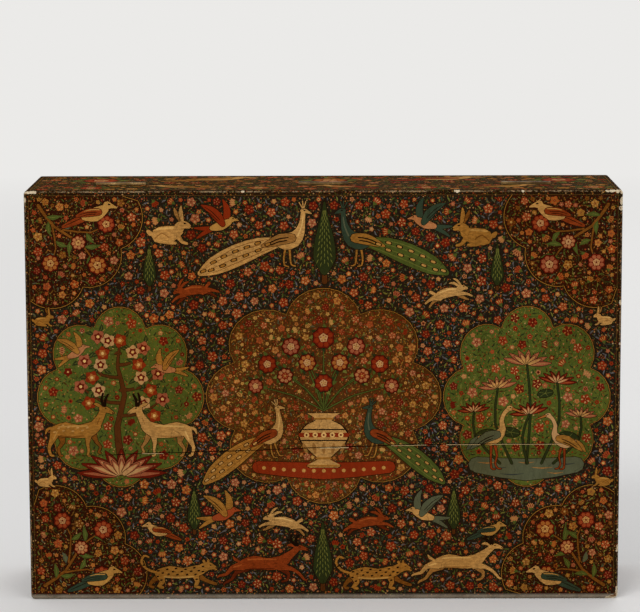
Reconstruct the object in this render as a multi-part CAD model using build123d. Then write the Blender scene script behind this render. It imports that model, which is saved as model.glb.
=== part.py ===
"""Papier-mache box on a wooden carcass, standing on its front side with the painted lid forward.

+X runs along the length, -Y points out of the painted lid and +Z is up from the side it stands on.
The origin is the middle of the footprint. All sizes are in millimetres.

Lid and base are built alike: two boards make the panel, four dovetailed rails make the walls, a
papier-mache skin covers the outside and a paper lining the inside. Three butt hinges join them.
"""
import os
from collections import namedtuple
from math import cos, pi, sqrt

from build123d import *

# The box as a whole
length = 450.0
height = 315.0
depth = 112.0
lid_depth = 45.0            # from the painted face to the line where lid and base meet
rim_gap = 0.3               # left between the two rims

# Papier-mache skin
skin = 1.5
arris_round = 3.0           # rounding of the outer edges
rim_bevel = 0.4             # worn edge of the skin at the rim
crack_width = 0.9           # where the skin has opened along the lid's board joint
crack_depth = 0.9
crack_ends = (34.0, 42.0)   # distance of its two ends from the sides of the lid
crack_path = ((0.0, -0.3), (0.22, 0.0), (0.38, -0.2), (0.64, 3.5), (1.0, -0.5))

# Wooden carcass
panel = 7.0                 # thickness of the boards
rail = 8.0                  # thickness of the walls
lid_joint = (110.0, 124.5)  # height of the board joint at its left and right end
base_joint = (190.0, 190.0)
dowel_d = 3.2               # dowels and pegs are whittled to eight sides
dowel_length = 24.0
dowel_inset = 40.0
dowel_count = 5
peg_d = 3.2
peg_grip = 10.0             # how far a peg goes into a rail
peg_inset = 28.0
long_pegs = 5               # along each long rail
side_pegs = 4               # along each side rail
whittled_sides = 8
bore_play = 0.05            # all round each dowel, peg and screw
lid_tails = 2               # dovetails in each corner
base_tails = 3
tail_waist = 8.0
tail_slope = 1 / 6

# Lining, and the lip inside the base that the lid closes over
lining = 0.6
lining_setback = 0.4        # from the rim
lip = 3.0                   # thickness of the strips
lip_seat = 12.0             # glued height, below the base's rim
lip_rise = 4.0              # height above the rim
lip_play = 0.4              # to the lid's lining
lip_bevel = 1.2

# Butt hinges
hinge_length = 38.0
hinge_inset = 51.0          # from the end of the box to the nearer end of a hinge
knuckles = 3
knuckle_d = 3.4
knuckle_play = 0.2          # between neighbouring knuckles
pin_d = 1.6
pin_play = 0.05             # all round the pin
axis_rise = 0.15            # of the pin's axis above the outside of the wall
leaf = 0.9                  # thickness
leaf_width = 9.0            # from the pin's axis
pocket_play = 0.1           # at a leaf's edges
barrel_play = 0.3           # round the barrel

# Hinge screws
screw_d = 1.6
screw_tip_d = 0.6
screw_tip = 2.0             # length of the tapered tip
screw_length = 7.0
screw_head_d = 3.2
screw_spread = 11.0         # from the middle of the hinge
screw_drop = 5.2            # from the pin's axis

# Places that follow from the sizes
seam_y = lid_depth - depth / 2
axis_z = height + axis_rise
core_x = length / 2 - skin
core_z = (skin, height - skin)
well_x = core_x - rail - lining
well_z = (core_z[0] + rail + lining, core_z[1] - rail - lining)
hinge_x = length / 2 - hinge_inset - hinge_length / 2
hinge_centres = (-hinge_x, 0.0, hinge_x)

# side is the direction in Y from the seam into this half, reach its depth from the seam
Half = namedtuple("Half", "name side reach joint tails")
LID = Half("lid", -1, lid_depth, lid_joint, lid_tails)
BASE = Half("base", 1, depth - lid_depth, base_joint, base_tails)


def at(half, v):
    """Y of a plane that lies v deep in this half, measured from the seam."""
    return seam_y + half.side * v


def slab(half, xs, vs, zs):
    """A block from corner to corner, with vs measured from the seam into this half."""
    spans = [sorted(xs), sorted(at(half, v) for v in vs), sorted(zs)]
    size = [high - low for low, high in spans]
    return Pos(*[(low + high) / 2 for low, high in spans]) * Box(*size)


def prism(points, direction, amount):
    """A face through the points, pushed along a direction."""
    return extrude(make_face(Polyline(*points, close=True)), amount=amount, dir=direction)


def whittled(diameter, span):
    """A wooden pin along Z with flats cut along it, about the origin."""
    return extrude(RegularPolygon(diameter / 2, whittled_sides), amount=span / 2, both=True)


def peg(half, x, z, vs, diameter):
    """A whittled peg square to the panel, with vs measured from the seam into this half."""
    low, high = sorted(at(half, v) for v in vs)
    return Pos(x, (low + high) / 2, z) * Rot(X=90) * whittled(diameter, high - low)


def spread(low, high, inset, count):
    """Evenly spaced places, with the first and last an inset from the ends."""
    first, last = low + inset, high - inset
    return [first + (last - first) * i / (count - 1) for i in range(count)]


# ---- places of the repeated parts ----

def panel_face(half):
    """Depth of the outer face of the boards."""
    return half.reach - skin


def rail_end(half):
    """Depth at which the rails meet the boards."""
    return panel_face(half) - panel


def joint_height(half, x):
    """Height of the joint between the two boards at x."""
    left, right = half.joint
    return left + (right - left) * (x + length / 2) / length


def peg_places():
    """Middles of the pegs, in the middle of the rails' thickness all round the panel."""
    low, high = core_z[0] + rail / 2, core_z[1] - rail / 2
    side_x = core_x - rail / 2
    places = [(x, z) for x in spread(-core_x, core_x, peg_inset, long_pegs) for z in (low, high)]
    places += [(x, z) for z in spread(*core_z, peg_inset, side_pegs) for x in (-side_x, side_x)]
    return places


def dowel_places(half):
    """Middles of the dowels, on the board joint."""
    middle = rail_end(half) + panel / 2
    xs = spread(-core_x, core_x, dowel_inset, dowel_count)
    return [(x, at(half, middle), joint_height(half, x)) for x in xs]


def screw_places():
    xs = [x + offset for x in hinge_centres for offset in (-screw_spread, screw_spread)]
    return [(x, axis_z - screw_drop) for x in xs]


# ---- what the hinges and pins take out of the wood and skin ----

def barrel(x_middle, span, diameter):
    return Pos(x_middle, seam_y, axis_z) * Rot(Y=90) * Cylinder(diameter / 2, span)


def hinge_pockets(half):
    """Mortises for the leaves, with room for the barrels."""
    span = hinge_length / 2 + pocket_play
    cuts = []
    for x in hinge_centres:
        leaf_low = axis_z - leaf_width - pocket_play
        cuts.append(slab(half, (x - span, x + span), (0, rim_gap / 2 + leaf), (leaf_low, axis_z)))
        cuts.append(barrel(x, 2 * span, knuckle_d + 2 * barrel_play))
    return cuts


def peg_bores(half):
    vs = (rail_end(half) - peg_grip, half.reach)
    return [peg(half, x, z, vs, peg_d + 2 * bore_play) for x, z in peg_places()]


def screw_bores(half):
    """Pilot holes in the wood, cut wide enough that their flats clear the shanks."""
    across_corners = (screw_d + 2 * bore_play) / cos(pi / whittled_sides)
    vs = (0, rim_gap / 2 + screw_length + bore_play)
    return [peg(half, x, z, vs, across_corners) for x, z in screw_places()]


def dowel_bores(half):
    bore = whittled(dowel_d + 2 * bore_play, dowel_length + 2 * bore_play)
    return [Pos(*place) * bore for place in dowel_places(half)]


# ---- papier-mache skin ----

def rounded_shell(half):
    """One wrap of papier-mache over the panel and four walls, open at the rim."""
    outer = slab(half, (-length / 2, length / 2), (rim_gap / 2, half.reach), (0, height))
    by_depth = outer.faces().sort_by(Axis.Y)
    face, rim = (by_depth[0], by_depth[-1]) if half.side < 0 else (by_depth[-1], by_depth[0])
    rim_y = rim.center().Y
    # the skin still covers the carcass's sharp corners under this rounding
    radius = min(arris_round, 0.9 * skin / (1 - 1 / sqrt(3)))
    outer = fillet(face.edges() + outer.edges().filter_by(Axis.Y), radius)
    rim_edges = outer.edges().filter_by(lambda e: abs(e.center().Y - rim_y) < rim_gap / 10)
    outer = chamfer(rim_edges, min(rim_bevel, skin / 2))
    core = slab(half, (-core_x, core_x), (0, panel_face(half)), core_z)
    return outer - core


def lid_crack():
    """The opening in the lid's skin, a sliver that follows the board joint."""
    start, end = crack_ends[0] - length / 2, length / 2 - crack_ends[1]
    middle = []
    for share, wander in crack_path:
        x = start + (end - start) * share
        middle.append((x, joint_height(LID, x) + wander))
    above = [(x, z + crack_width / 2) for x, z in middle[1:-1]]
    below = [(x, z - crack_width / 2) for x, z in middle[1:-1]]
    outline = [middle[0]] + above + [middle[-1]] + below[::-1]
    face_y = at(LID, lid_depth)
    return prism([(x, face_y, z) for x, z in outline], (0, 1, 0), crack_depth)


def make_skin(half):
    shell = rounded_shell(half)
    shell -= hinge_pockets(half)
    return shell - lid_crack() if half is LID else shell


# ---- wooden carcass ----

def make_boards(half):
    """The two boards of a panel, joined edge to edge on dowels."""
    left, right = joint_height(half, -core_x), joint_height(half, core_x)
    y = at(half, rail_end(half))
    push = (0, half.side, 0)
    joint = [(-core_x, y, left), (core_x, y, right)]
    holes = dowel_bores(half) + peg_bores(half)
    upper = prism(joint + [(core_x, y, core_z[1]), (-core_x, y, core_z[1])], push, panel)
    lower = prism(joint + [(core_x, y, core_z[0]), (-core_x, y, core_z[0])], push, panel)
    return upper - holes, lower - holes


def dovetails(half, x_side, z_side):
    """The tails at one end of a side rail, which go right through the long rail."""
    near, far = rim_gap / 2, rail_end(half)
    end = core_z[1] if z_side > 0 else core_z[0]
    shoulder = end - z_side * rail
    flare = rail * tail_slope
    x_inner = x_side * (core_x - rail)
    tails = []
    for i in range(half.tails):
        middle = near + (far - near) * (i + 0.5) / half.tails
        narrow = [at(half, middle + way * tail_waist / 2) for way in (-1, 1)]
        wide = [at(half, middle + way * (tail_waist / 2 + flare)) for way in (-1, 1)]
        outline = [(narrow[0], shoulder), (narrow[1], shoulder), (wide[1], end), (wide[0], end)]
        tails.append(prism([(x_inner, y, z) for y, z in outline], (x_side, 0, 0), rail))
    return tails


def make_side_rail(half, x_side):
    """A short wall, with a row of dovetails at both ends."""
    xs = (x_side * (core_x - rail), x_side * core_x)
    zs = (core_z[0] + rail, core_z[1] - rail)
    wall = slab(half, xs, (rim_gap / 2, rail_end(half)), zs)
    for z_side in (-1, 1):
        wall += dovetails(half, x_side, z_side)
    return wall - peg_bores(half)


def make_long_rail(half, z_side):
    """A long wall, with the sockets for the dovetails of both side rails."""
    end = core_z[1] if z_side > 0 else core_z[0]
    wall = slab(half, (-core_x, core_x), (rim_gap / 2, rail_end(half)), (end - z_side * rail, end))
    for x_side in (-1, 1):
        wall -= dovetails(half, x_side, z_side)
    wall -= peg_bores(half)
    return wall - hinge_pockets(half) - screw_bores(half) if z_side > 0 else wall


def make_dowels(half):
    return [Pos(*place) * whittled(dowel_d, dowel_length) for place in dowel_places(half)]


def make_pegs(half):
    vs = (rail_end(half) - peg_grip + bore_play, panel_face(half))
    return [peg(half, x, z, vs, peg_d) for x, z in peg_places()]


# ---- lining and lip ----

def make_lining(half):
    """Paper pasted over the inside of the panel and the four walls."""
    outer_x = well_x + lining
    outer_z = (well_z[0] - lining, well_z[1] + lining)
    rim = rim_gap / 2 + lining_setback
    sheet = slab(half, (-outer_x, outer_x), (rim, rail_end(half)), outer_z)
    return sheet - slab(half, (-well_x, well_x), (0, rail_end(half) - lining), well_z)


def lip_section():
    """Section of a lip strip: how far in from the wall, and how deep from the seam."""
    top = -lip_rise
    rim = rim_gap / 2 + lining_setback
    return [(0, rim), (0, lip_seat), (lip, lip_seat), (lip, top), (lip_play + lip_bevel, top),
            (lip_play, top + lip_bevel), (lip_play, rim)]


def lip_mitre(half_run, middle_run, seat, inward):
    """Corners of a strip seen square to the panel: full at the wall, shorter by a mitre inside."""
    far = seat + inward * lip
    runs = (middle_run - half_run, middle_run + half_run)
    return [(runs[0], seat), (runs[1], seat), (runs[1] - lip, far), (runs[0] + lip, far)]


def make_long_lip(z_side):
    seat = well_z[1] if z_side > 0 else well_z[0]
    section = [(-well_x, at(BASE, v), seat - z_side * u) for u, v in lip_section()]
    strip = prism(section, (1, 0, 0), 2 * well_x)
    outline = lip_mitre(well_x, 0, seat, -z_side)
    low = at(BASE, -lip_rise)
    return strip & prism([(x, low, z) for x, z in outline], (0, 1, 0), lip_rise + lip_seat)


def make_side_lip(x_side):
    seat = x_side * well_x
    middle = (well_z[0] + well_z[1]) / 2
    run = (well_z[1] - well_z[0]) / 2
    section = [(seat - x_side * u, at(BASE, v), well_z[0]) for u, v in lip_section()]
    strip = prism(section, (0, 0, 1), 2 * run)
    outline = lip_mitre(run, middle, seat, -x_side)
    low = at(BASE, -lip_rise)
    return strip & prism([(x, low, z) for z, x in outline], (0, 1, 0), lip_rise + lip_seat)


# ---- hinges ----

def knuckle_spans(half):
    """Start and end along X of each knuckle on this half's leaf, from the hinge's middle."""
    pitch = hinge_length / knuckles
    first = 0 if half is BASE else 1
    spans = []
    for i in range(first, knuckles, 2):
        start = i * pitch - hinge_length / 2
        trim_start = knuckle_play / 2 if i > 0 else 0
        trim_end = knuckle_play / 2 if i < knuckles - 1 else 0
        spans.append((start + trim_start, start + pitch - trim_end))
    return spans


def screws(half, grow=0.0):
    """The countersunk screws of this half, their heads as deep as the leaf is thick."""
    head, shank, tip = [d / 2 + grow for d in (screw_head_d, screw_d, screw_tip_d)]
    taper = screw_length - screw_tip
    section = [(0, 0), (head, 0), (shank, leaf), (shank, taper), (tip, screw_length),
               (0, screw_length)]
    body = revolve(make_face(Polyline(*[(x, 0, z) for x, z in section], close=True)), Axis.Z)
    turn = Rot(X=-90 * half.side)
    return [Pos(x, at(half, rim_gap / 2), z) * turn * body for x, z in screw_places()]


def make_leaf(half, x_middle):
    """A hinge leaf, rolled round the pin at every other knuckle."""
    vs = (rim_gap / 2, rim_gap / 2 + leaf)
    zs = (axis_z - leaf_width, axis_z)
    ends = (x_middle - hinge_length / 2, x_middle + hinge_length / 2)
    plate = slab(half, ends, vs, zs) - barrel(x_middle, hinge_length, knuckle_d + 2 * knuckle_play)
    for low, high in knuckle_spans(half):
        span = (x_middle + low, x_middle + high)
        plate += slab(half, span, vs, zs)
        plate += barrel(sum(span) / 2, high - low, knuckle_d)
    plate -= barrel(x_middle, hinge_length, pin_d + 2 * pin_play)
    return plate - screws(half, bore_play)


def make_pin(x_middle):
    return barrel(x_middle, hinge_length, pin_d)


# ---- the whole box ----

def carcass_nodes(half):
    """Every piece of the lid or of the base, by name."""
    upper, lower = make_boards(half)
    return {
        f"{half.name}_skin": make_skin(half),
        f"{half.name}_board_upper": upper,
        f"{half.name}_board_lower": lower,
        f"{half.name}_board_dowels": Compound(children=make_dowels(half)),
        f"{half.name}_panel_pegs": Compound(children=make_pegs(half)),
        f"{half.name}_rail_hinge_side": make_long_rail(half, 1),
        f"{half.name}_rail_front": make_long_rail(half, -1),
        f"{half.name}_rail_left": make_side_rail(half, -1),
        f"{half.name}_rail_right": make_side_rail(half, 1),
        f"{half.name}_lining": make_lining(half),
    }


def lip_nodes():
    return {
        "lip_hinge_side": make_long_lip(1),
        "lip_front": make_long_lip(-1),
        "lip_left": make_side_lip(-1),
        "lip_right": make_side_lip(1),
    }


def hinge_nodes():
    nodes = {}
    for place, x in zip(("left", "middle", "right"), hinge_centres):
        nodes[f"hinge_{place}_base_leaf"] = make_leaf(BASE, x)
        nodes[f"hinge_{place}_lid_leaf"] = make_leaf(LID, x)
        nodes[f"hinge_{place}_pin"] = make_pin(x)
    nodes["hinge_base_screws"] = Compound(children=screws(BASE))
    nodes["hinge_lid_screws"] = Compound(children=screws(LID))
    return nodes


def main():
    os.makedirs("parts", exist_ok=True)
    nodes = {**carcass_nodes(LID), **carcass_nodes(BASE), **lip_nodes(), **hinge_nodes()}
    for name, shape in nodes.items():
        export_step(shape, f"parts/{name}.step")


main()
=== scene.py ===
"""Looks of a lacquered papier-mache box: painted skins with worn edges, lining, brass hinges and wood."""
import math
import random
from collections import namedtuple

import bmesh
import bpy
import numpy as np
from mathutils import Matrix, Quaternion, Vector
from mathutils.geometry import delaunay_2d_cdt


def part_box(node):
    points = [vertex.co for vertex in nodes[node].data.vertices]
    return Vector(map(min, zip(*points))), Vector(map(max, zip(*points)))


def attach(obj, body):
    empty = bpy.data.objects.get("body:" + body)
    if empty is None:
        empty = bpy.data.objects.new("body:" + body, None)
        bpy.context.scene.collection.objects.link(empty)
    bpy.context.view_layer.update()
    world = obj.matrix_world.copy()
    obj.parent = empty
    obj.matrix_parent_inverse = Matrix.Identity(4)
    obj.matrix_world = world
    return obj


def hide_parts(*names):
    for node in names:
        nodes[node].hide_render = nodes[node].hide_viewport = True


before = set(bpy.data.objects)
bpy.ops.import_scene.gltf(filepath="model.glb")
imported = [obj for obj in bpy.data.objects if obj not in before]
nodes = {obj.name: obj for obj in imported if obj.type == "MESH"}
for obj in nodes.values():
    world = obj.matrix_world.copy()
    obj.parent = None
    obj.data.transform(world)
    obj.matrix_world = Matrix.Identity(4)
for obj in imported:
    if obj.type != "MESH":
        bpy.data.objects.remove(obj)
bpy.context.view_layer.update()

MM = 0.001
LID_LOW, LID_HIGH = [np.array(corner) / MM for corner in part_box("lid_skin")]
BASE_LOW, BASE_HIGH = [np.array(corner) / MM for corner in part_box("base_skin")]
ARRIS = 3.0             # the rounding of the box's long edges
X, Y, Z = 0, 1, 2       # the axes: along the box, from its painted face to its back, and up


# ---------------------------------------------------------------- colours, as they look under the varnish

COLOURS = {
    "field": (30, 25, 20), "olive_field": (43, 33, 14), "green": (72, 84, 34), "maroon": (43, 17, 9),
    "gold_ground": (72, 42, 17), "border": (32, 20, 11), "gold": (138, 98, 42),
    "cream": (176, 136, 84), "cream_light": (200, 164, 108), "cream_shade": (142, 102, 56),
    "ochre": (145, 101, 45), "ochre_light": (166, 126, 69), "ochre_shade": (108, 66, 24),
    "roan": (122, 52, 22), "roan_light": (148, 76, 36), "roan_shade": (86, 32, 14),
    "bronze": (96, 66, 26), "bronze_shade": (62, 40, 17), "brown": (76, 42, 19), "ink": (20, 12, 7),
    "red": (120, 40, 17), "red_light": (138, 62, 34), "crimson": (90, 22, 12), "orange": (149, 91, 44),
    "salmon": (157, 105, 70), "pink": (141, 79, 56), "blush": (170, 133, 94), "teal": (42, 58, 48),
    "leaf": (66, 78, 34), "leaf_light": (98, 102, 48), "leaf_dark": (36, 46, 24), "slate": (76, 82, 66),
    "mist": (84, 85, 94), "mist_dark": (56, 58, 58), "stem": (88, 72, 36), "blue": (40, 48, 52),
    "gesso": (196, 176, 144),
}


# ---------------------------------------------------------------- curves, brush marks and what lies inside them

CELL = 0.5              # the pitch, in mm, of the grid that says which parts of a panel are taken
RIM = 0.06              # how far a mark stays inside its panel's own edge, where the next face begins
HAIR = 0.04             # half the width of the thinnest brush mark
BLUNT = 0.5             # from this half width on, a stroke's tip is rounded with shoulders
SHOULDER = 0.7          # where those shoulders lie, as a share of the half width


def bend(rows, steps=3):
    """A smooth curve through rows of numbers, with steps to each span."""
    rows = np.asarray(rows, float)
    line = np.vstack([2 * rows[:1] - rows[1:2], rows, 2 * rows[-1:] - rows[-2:-1]])
    t = np.linspace(0, 1, steps, endpoint=False)[:, None]
    spans = [0.5 * (2 * b + (c - a) * t + (2 * a - 5 * b + 4 * c - d) * t**2 + (3 * b - a - 3 * c + d) * t**3)
             for a, b, c, d in zip(line, line[1:], line[2:], line[3:])]
    return np.vstack([*spans, rows[-1:]])


def stroke(rows, grow=0.0, steps=2):
    """The outline of one brush stroke through rows of (x, y, half its width)."""
    line = bend(rows, steps)
    place, reach = line[:, :2], np.maximum(line[:, 2:3], HAIR) + grow
    ahead = np.gradient(place, axis=0)
    ahead /= np.maximum(np.linalg.norm(ahead, axis=1, keepdims=True), 1e-9)
    side = np.stack([-ahead[:, 1], ahead[:, 0]], 1) * reach

    def tip(end, way):
        middle, forth, across = place[end], way * ahead[end] * reach[end], way * side[end]
        if reach[end, 0] < BLUNT:
            return [middle + forth]
        return [middle + (forth + across) * SHOULDER, middle + forth, middle + (forth - across) * SHOULDER]

    return np.vstack([place + side, tip(-1, 1), (place - side)[::-1], tip(0, -1)])


def inside(outline, places):
    """Which of the places an outline goes round at least once."""
    a, b = outline, np.roll(outline, -1, axis=0)
    px, py = places[:, :1], places[:, 1:]
    side = (b[:, 0] - a[:, 0]) * (py - a[:, 1]) - (px - a[:, 0]) * (b[:, 1] - a[:, 1])
    turns = ((a[:, 1] <= py) & (b[:, 1] > py) & (side > 0)).sum(1)
    turns = turns - ((a[:, 1] > py) & (b[:, 1] <= py) & (side < 0)).sum(1)
    return turns != 0


def lobed(centre, radius, lobes, start=0.0, sweep=2 * math.pi, each=9, hub=0.70, arc=0.335):
    """A scalloped line of equal arcs about a centre; radius is a pair, across and up."""
    points = []
    half = sweep / lobes / 2
    for lobe in range(lobes):
        middle = start + sweep * (lobe + 0.5) / lobes
        for turn in np.linspace(-half, half, each, endpoint=False):
            reach = hub * math.cos(turn) + math.sqrt(arc**2 - (hub * math.sin(turn)) ** 2)
            angle = middle + turn
            points.append((centre[0] + radius[0] * reach * math.cos(angle),
                           centre[1] + radius[1] * reach * math.sin(angle)))
    return np.array(points)


def both_sides(half):
    """A closed outline that is the same left and right, from the half that rises along its right side."""
    half = np.array(half, float)
    return np.vstack([half, half[-2:0:-1] * (-1, 1)])


def ring(radius, corners, wave=0.0, waves=5, start=0.0, centre=(0, 0)):
    """A round outline whose edge may rise and fall in even waves."""
    turn = np.linspace(0, 2 * math.pi, corners, endpoint=False) + start
    reach = radius * (1 + wave * np.cos(waves * (turn - start)))
    return np.stack([centre[0] + reach * np.cos(turn), centre[1] + reach * np.sin(turn)], 1)


def grid_of(*ranges):
    """Every pair of steps along two ranges."""
    return np.stack(np.meshgrid(*ranges, indexing="ij"), -1).reshape(-1, 2)


class Panel:
    """A flat painted face: outlines in the order they are painted, and the room that is left on it."""

    def __init__(self, low, high, ground):
        self.low, self.high = np.array(low, float), np.array(high, float)
        self.ground, self.marks = ground, []
        shape = np.ceil((self.high - self.low) / CELL).astype(int) + 1
        self.zone = np.zeros(shape, np.uint8)
        self.taken = np.zeros(shape, bool)

    def cells(self, outline):
        """The grid cells whose middles lie inside an outline, as an index of the grid."""
        first = np.maximum(np.floor((outline.min(0) - self.low) / CELL).astype(int), 0)
        last = np.minimum(np.ceil((outline.max(0) - self.low) / CELL).astype(int) + 1, self.zone.shape)
        grid = grid_of(*(np.arange(f, l) for f, l in zip(first, last)))
        return tuple(grid[inside(outline, grid * CELL + self.low)].T)

    def paint(self, outline, colour):
        """Adds a mark."""
        self.marks.append((np.clip(np.asarray(outline, float), self.low + RIM, self.high - RIM), colour))

    def take(self, outline):
        """Keeps later blossoms off the room inside an outline."""
        self.taken[self.cells(outline)] = True

    def name_zone(self, outline, number):
        """Gives the room inside an outline to one of the panel's zones."""
        self.zone[self.cells(outline)] = number

    def at(self, place):
        """The grid cell that a spot lies in."""
        spot = ((np.asarray(place) - self.low) / CELL + 0.5).astype(int)
        return tuple(np.clip(spot, 0, np.array(self.zone.shape) - 1))


class Pen:
    """Draws at one place of a panel, turned, sized and, with a flip of -1, mirrored."""

    def __init__(self, panel, at, turn=0.0, size=1.0, flip=1):
        self.panel, self.at, self.size, self.flip = panel, np.array(at, float), size, flip
        c, s = math.cos(math.radians(turn)), math.sin(math.radians(turn))
        self.turned = np.array([[c, s], [-s, c]])

    def onto(self, points):
        """The pen's own points as they lie on the panel."""
        return np.asarray(points, float) * (self.flip * self.size, self.size) @ self.turned + self.at

    def spot(self, x, y):
        """One of the pen's own points as it lies on the panel."""
        return self.onto([(x, y)])[0]

    def moved(self, x, y, turn=0.0):
        """A pen of this one's size at one of its points, turned afresh and not mirrored."""
        return Pen(self.panel, self.spot(x, y), turn, self.size)

    def brush(self, rows):
        """Rows of (x, y, half width) as they lie on the panel."""
        rows = np.array(rows, float)
        return np.column_stack([self.onto(rows[:, :2]), rows[:, 2] * self.size])

    def take(self, outline):
        self.panel.take(self.onto(outline))

    def fill(self, outline, colour):
        self.panel.paint(self.onto(outline), colour)

    def draw(self, rows, colour, grow=0.0, steps=2):
        """Paints one brush stroke."""
        self.panel.paint(stroke(self.brush(rows), grow, steps), colour)

    def figure(self, groups, colours, line=0.45, halo=1.3):
        """Groups of (colour key, strokes), each group edged with ink; a key in capitals has no edge."""
        colours = {"ink": "ink", **colours}
        for key, strokes in groups:
            for rows in strokes if key.islower() else ():
                self.panel.take(stroke(self.brush(rows), halo))
                self.draw(rows, "ink", line)
            for rows in strokes:
                self.draw(rows, colours[key.lower()])


# ---------------------------------------------------------------- animals and birds

# Each is a list of (colour key, strokes); a stroke is a list of (x, y, half width) in mm.

DEER = [
    ("shade", [[(-11, 15, 3), (-9.6, 9, 1.4), (-12.4, 5, 0.9), (-11.4, 0.8, 0.8), (-10, 0.4, 0.6)],
        [(9.5, 15, 2.2), (12, 9, 1.1), (14.4, 6, 0.8), (13, 2.6, 0.7), (14.4, 2, 0.5)]]),
    ("coat", [[(-17, 18.4, 0.7), (-19.4, 17, 0.9), (-20.4, 14.4, 0.3)],
        [(-14, 16.4, 3.5), (-16.4, 10, 1.7), (-18.4, 5.4, 1), (-17.2, 0.8, 0.8), (-15.6, 0.4, 0.6)],
        [(7, 15, 2.4), (6.2, 8, 1.1), (6.8, 4, 0.8), (6.2, 0.8, 0.7), (7.6, 0.4, 0.6)],
        [(-14.4, 16.6, 3.2), (-8, 17.2, 4.8), (0, 16, 4.2), (7, 17, 4.6), (11.4, 19.4, 3.6)],
        [(10.6, 19, 3.6), (14.4, 25, 2.4), (16.4, 29.6, 2)], [(16, 30.6, 2.3), (19, 29.8, 1.7), (22.4, 28, 0.9)],
        [(15, 32, 0.7), (12.4, 33.4, 1), (10.4, 33.8, 0.2)]]),
    ("horn", [[(16.4, 32.6, 0.5), (15.4, 36.4, 0.5), (16.4, 40.4, 0.3)],
        [(17.6, 32.4, 0.5), (17.8, 36.4, 0.5), (19.6, 39.8, 0.3)]]),
    ("SHADE", [[(-11, 13.4, 0.3), (-4, 12.4, 0.4), (4, 13.2, 0.3)], [(12.4, 20.6, 0.2), (14, 24.6, 0.3)]]),
    ("LIGHT", [[(-12, 19, 0.4), (-4, 19.4, 0.5), (6, 19.6, 0.4)], [(-13, 16, 0.4), (-15.4, 11, 0.4)]]),
    ("INK", [[(17.6, 31, 0.35), (18.3, 30.8, 0.3)], [(22.2, 28, 0.4), (22.8, 27.7, 0.3)]]),
]
DEER_SPOTS = [(-12, 18), (-9, 16.4), (-6, 18.6), (-3, 16.2), (0, 18.4), (3, 16.6), (6, 18.4), (-9.4, 19.8),
              (-14.6, 15.6)]

STAG_RUNNING = [
    ("shade", [[(-13, 13.4, 2.8), (-19, 10.4, 1.4), (-22.4, 5.6, 0.9), (-26.4, 3.4, 0.7), (-27.4, 2.2, 0.5)],
        [(9, 13.4, 2.3), (14, 9, 1.1), (13, 5.2, 0.8), (9.8, 4.2, 0.6)]]),
    ("coat", [[(-17.4, 17.2, 0.7), (-20, 18.6, 0.9), (-21.4, 20.6, 0.3)],
        [(-15, 14.6, 3.2), (-22, 13, 1.6), (-25.6, 9, 1), (-30, 8, 0.7), (-31.4, 7, 0.5)],
        [(8, 14, 2.6), (16, 12.4, 1.2), (21, 9, 0.9), (24, 5.4, 0.7), (25.6, 5.2, 0.5)],
        [(-15, 15.2, 3.2), (-8, 16.6, 4.4), (0, 15.6, 3.8), (7, 16.2, 4.2), (12, 18.4, 3.2)],
        [(11, 18.4, 3.4), (16, 22.4, 2.2), (19.4, 25.4, 1.8)], [(19, 26, 2), (22.4, 26.2, 1.5), (25.8, 25, 0.8)],
        [(17.6, 27.2, 0.6), (15, 28, 0.9), (13, 27.6, 0.2)]]),
    ("horn", [[(18.6, 27.8, 0.5), (15.6, 31, 0.5), (16, 34.6, 0.3)], [(16.4, 30.4, 0.35), (13.4, 31.4, 0.2)],
        [(19.8, 27.8, 0.5), (18.8, 31.4, 0.5), (20.6, 34.4, 0.3)]]),
    ("LIGHT", [[(-12, 18.4, 0.4), (-4, 18.8, 0.5), (6, 18.6, 0.4)], [(-16, 15, 0.4), (-21, 13.6, 0.4)]]),
    ("SHADE", [[(-11, 12.8, 0.3), (-3, 12.4, 0.4), (5, 12.8, 0.3)]]),
    ("INK", [[(21, 26.8, 0.3), (21.7, 26.7, 0.3)], [(25.6, 25.2, 0.4), (26.2, 24.9, 0.3)]]),
]

LEOPARD = [
    ("shade", [[(-14, 9, 2.6), (-19.4, 5.6, 1.5), (-22, 1.6, 1), (-19.6, 0.6, 0.9)],
        [(10, 9.6, 2.3), (16.4, 5.4, 1.3), (21.4, 3.4, 1.1), (23.4, 2.8, 0.9)]]),
    ("coat", [[(-18, 11, 0.9), (-24, 13.4, 0.8), (-27.6, 18.4, 0.8), (-25.6, 22.6, 0.8), (-22.6, 21.6, 0.6)],
        [(-15, 9.6, 3.2), (-13.4, 4.4, 1.8), (-16, 1.2, 1.1), (-13, 0.4, 0.9)],
        [(9, 9.8, 2.6), (10.6, 4.4, 1.5), (9.2, 1.2, 1.1), (12.2, 0.4, 0.9)],
        [(-15.4, 10.2, 3), (-8, 11.4, 4), (1, 10.4, 3.6), (9, 11.6, 4), (14, 13.2, 3.2)],
        [(13.4, 13.4, 3.2), (18, 15.4, 3), (21, 14.6, 2), (23, 13.6, 1.4)], [(15.8, 17.6, 0.8), (15, 19, 0.9)],
        [(18.2, 18, 0.8), (18.2, 19.4, 0.8)]]),
    ("LIGHT", [[(-12, 7.8, 0.5), (-2, 7.2, 0.6), (8, 8, 0.5)]]),
    ("INK", [[(19.4, 16, 0.35), (20.2, 15.8, 0.3)], [(23.4, 14.2, 0.5), (24, 13.6, 0.3)],
        [(22.8, 12.8, 0.2), (20.6, 12.9, 0.2)]]),
]
LEOPARD_SPOTS = [(-16, 12), (-13, 10.4), (-10, 13), (-9, 9.6), (-6, 11.4), (-4, 13.6), (-3, 9.2), (0, 11.4),
                 (2.6, 13), (3.6, 9.2), (6.4, 11.6), (8.6, 14), (9.4, 9.4), (11.6, 12), (14.6, 15), (14.4, 11.4),
                 (-16.4, 8), (-14, 5.4), (10.2, 6), (-26, 16)]

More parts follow.
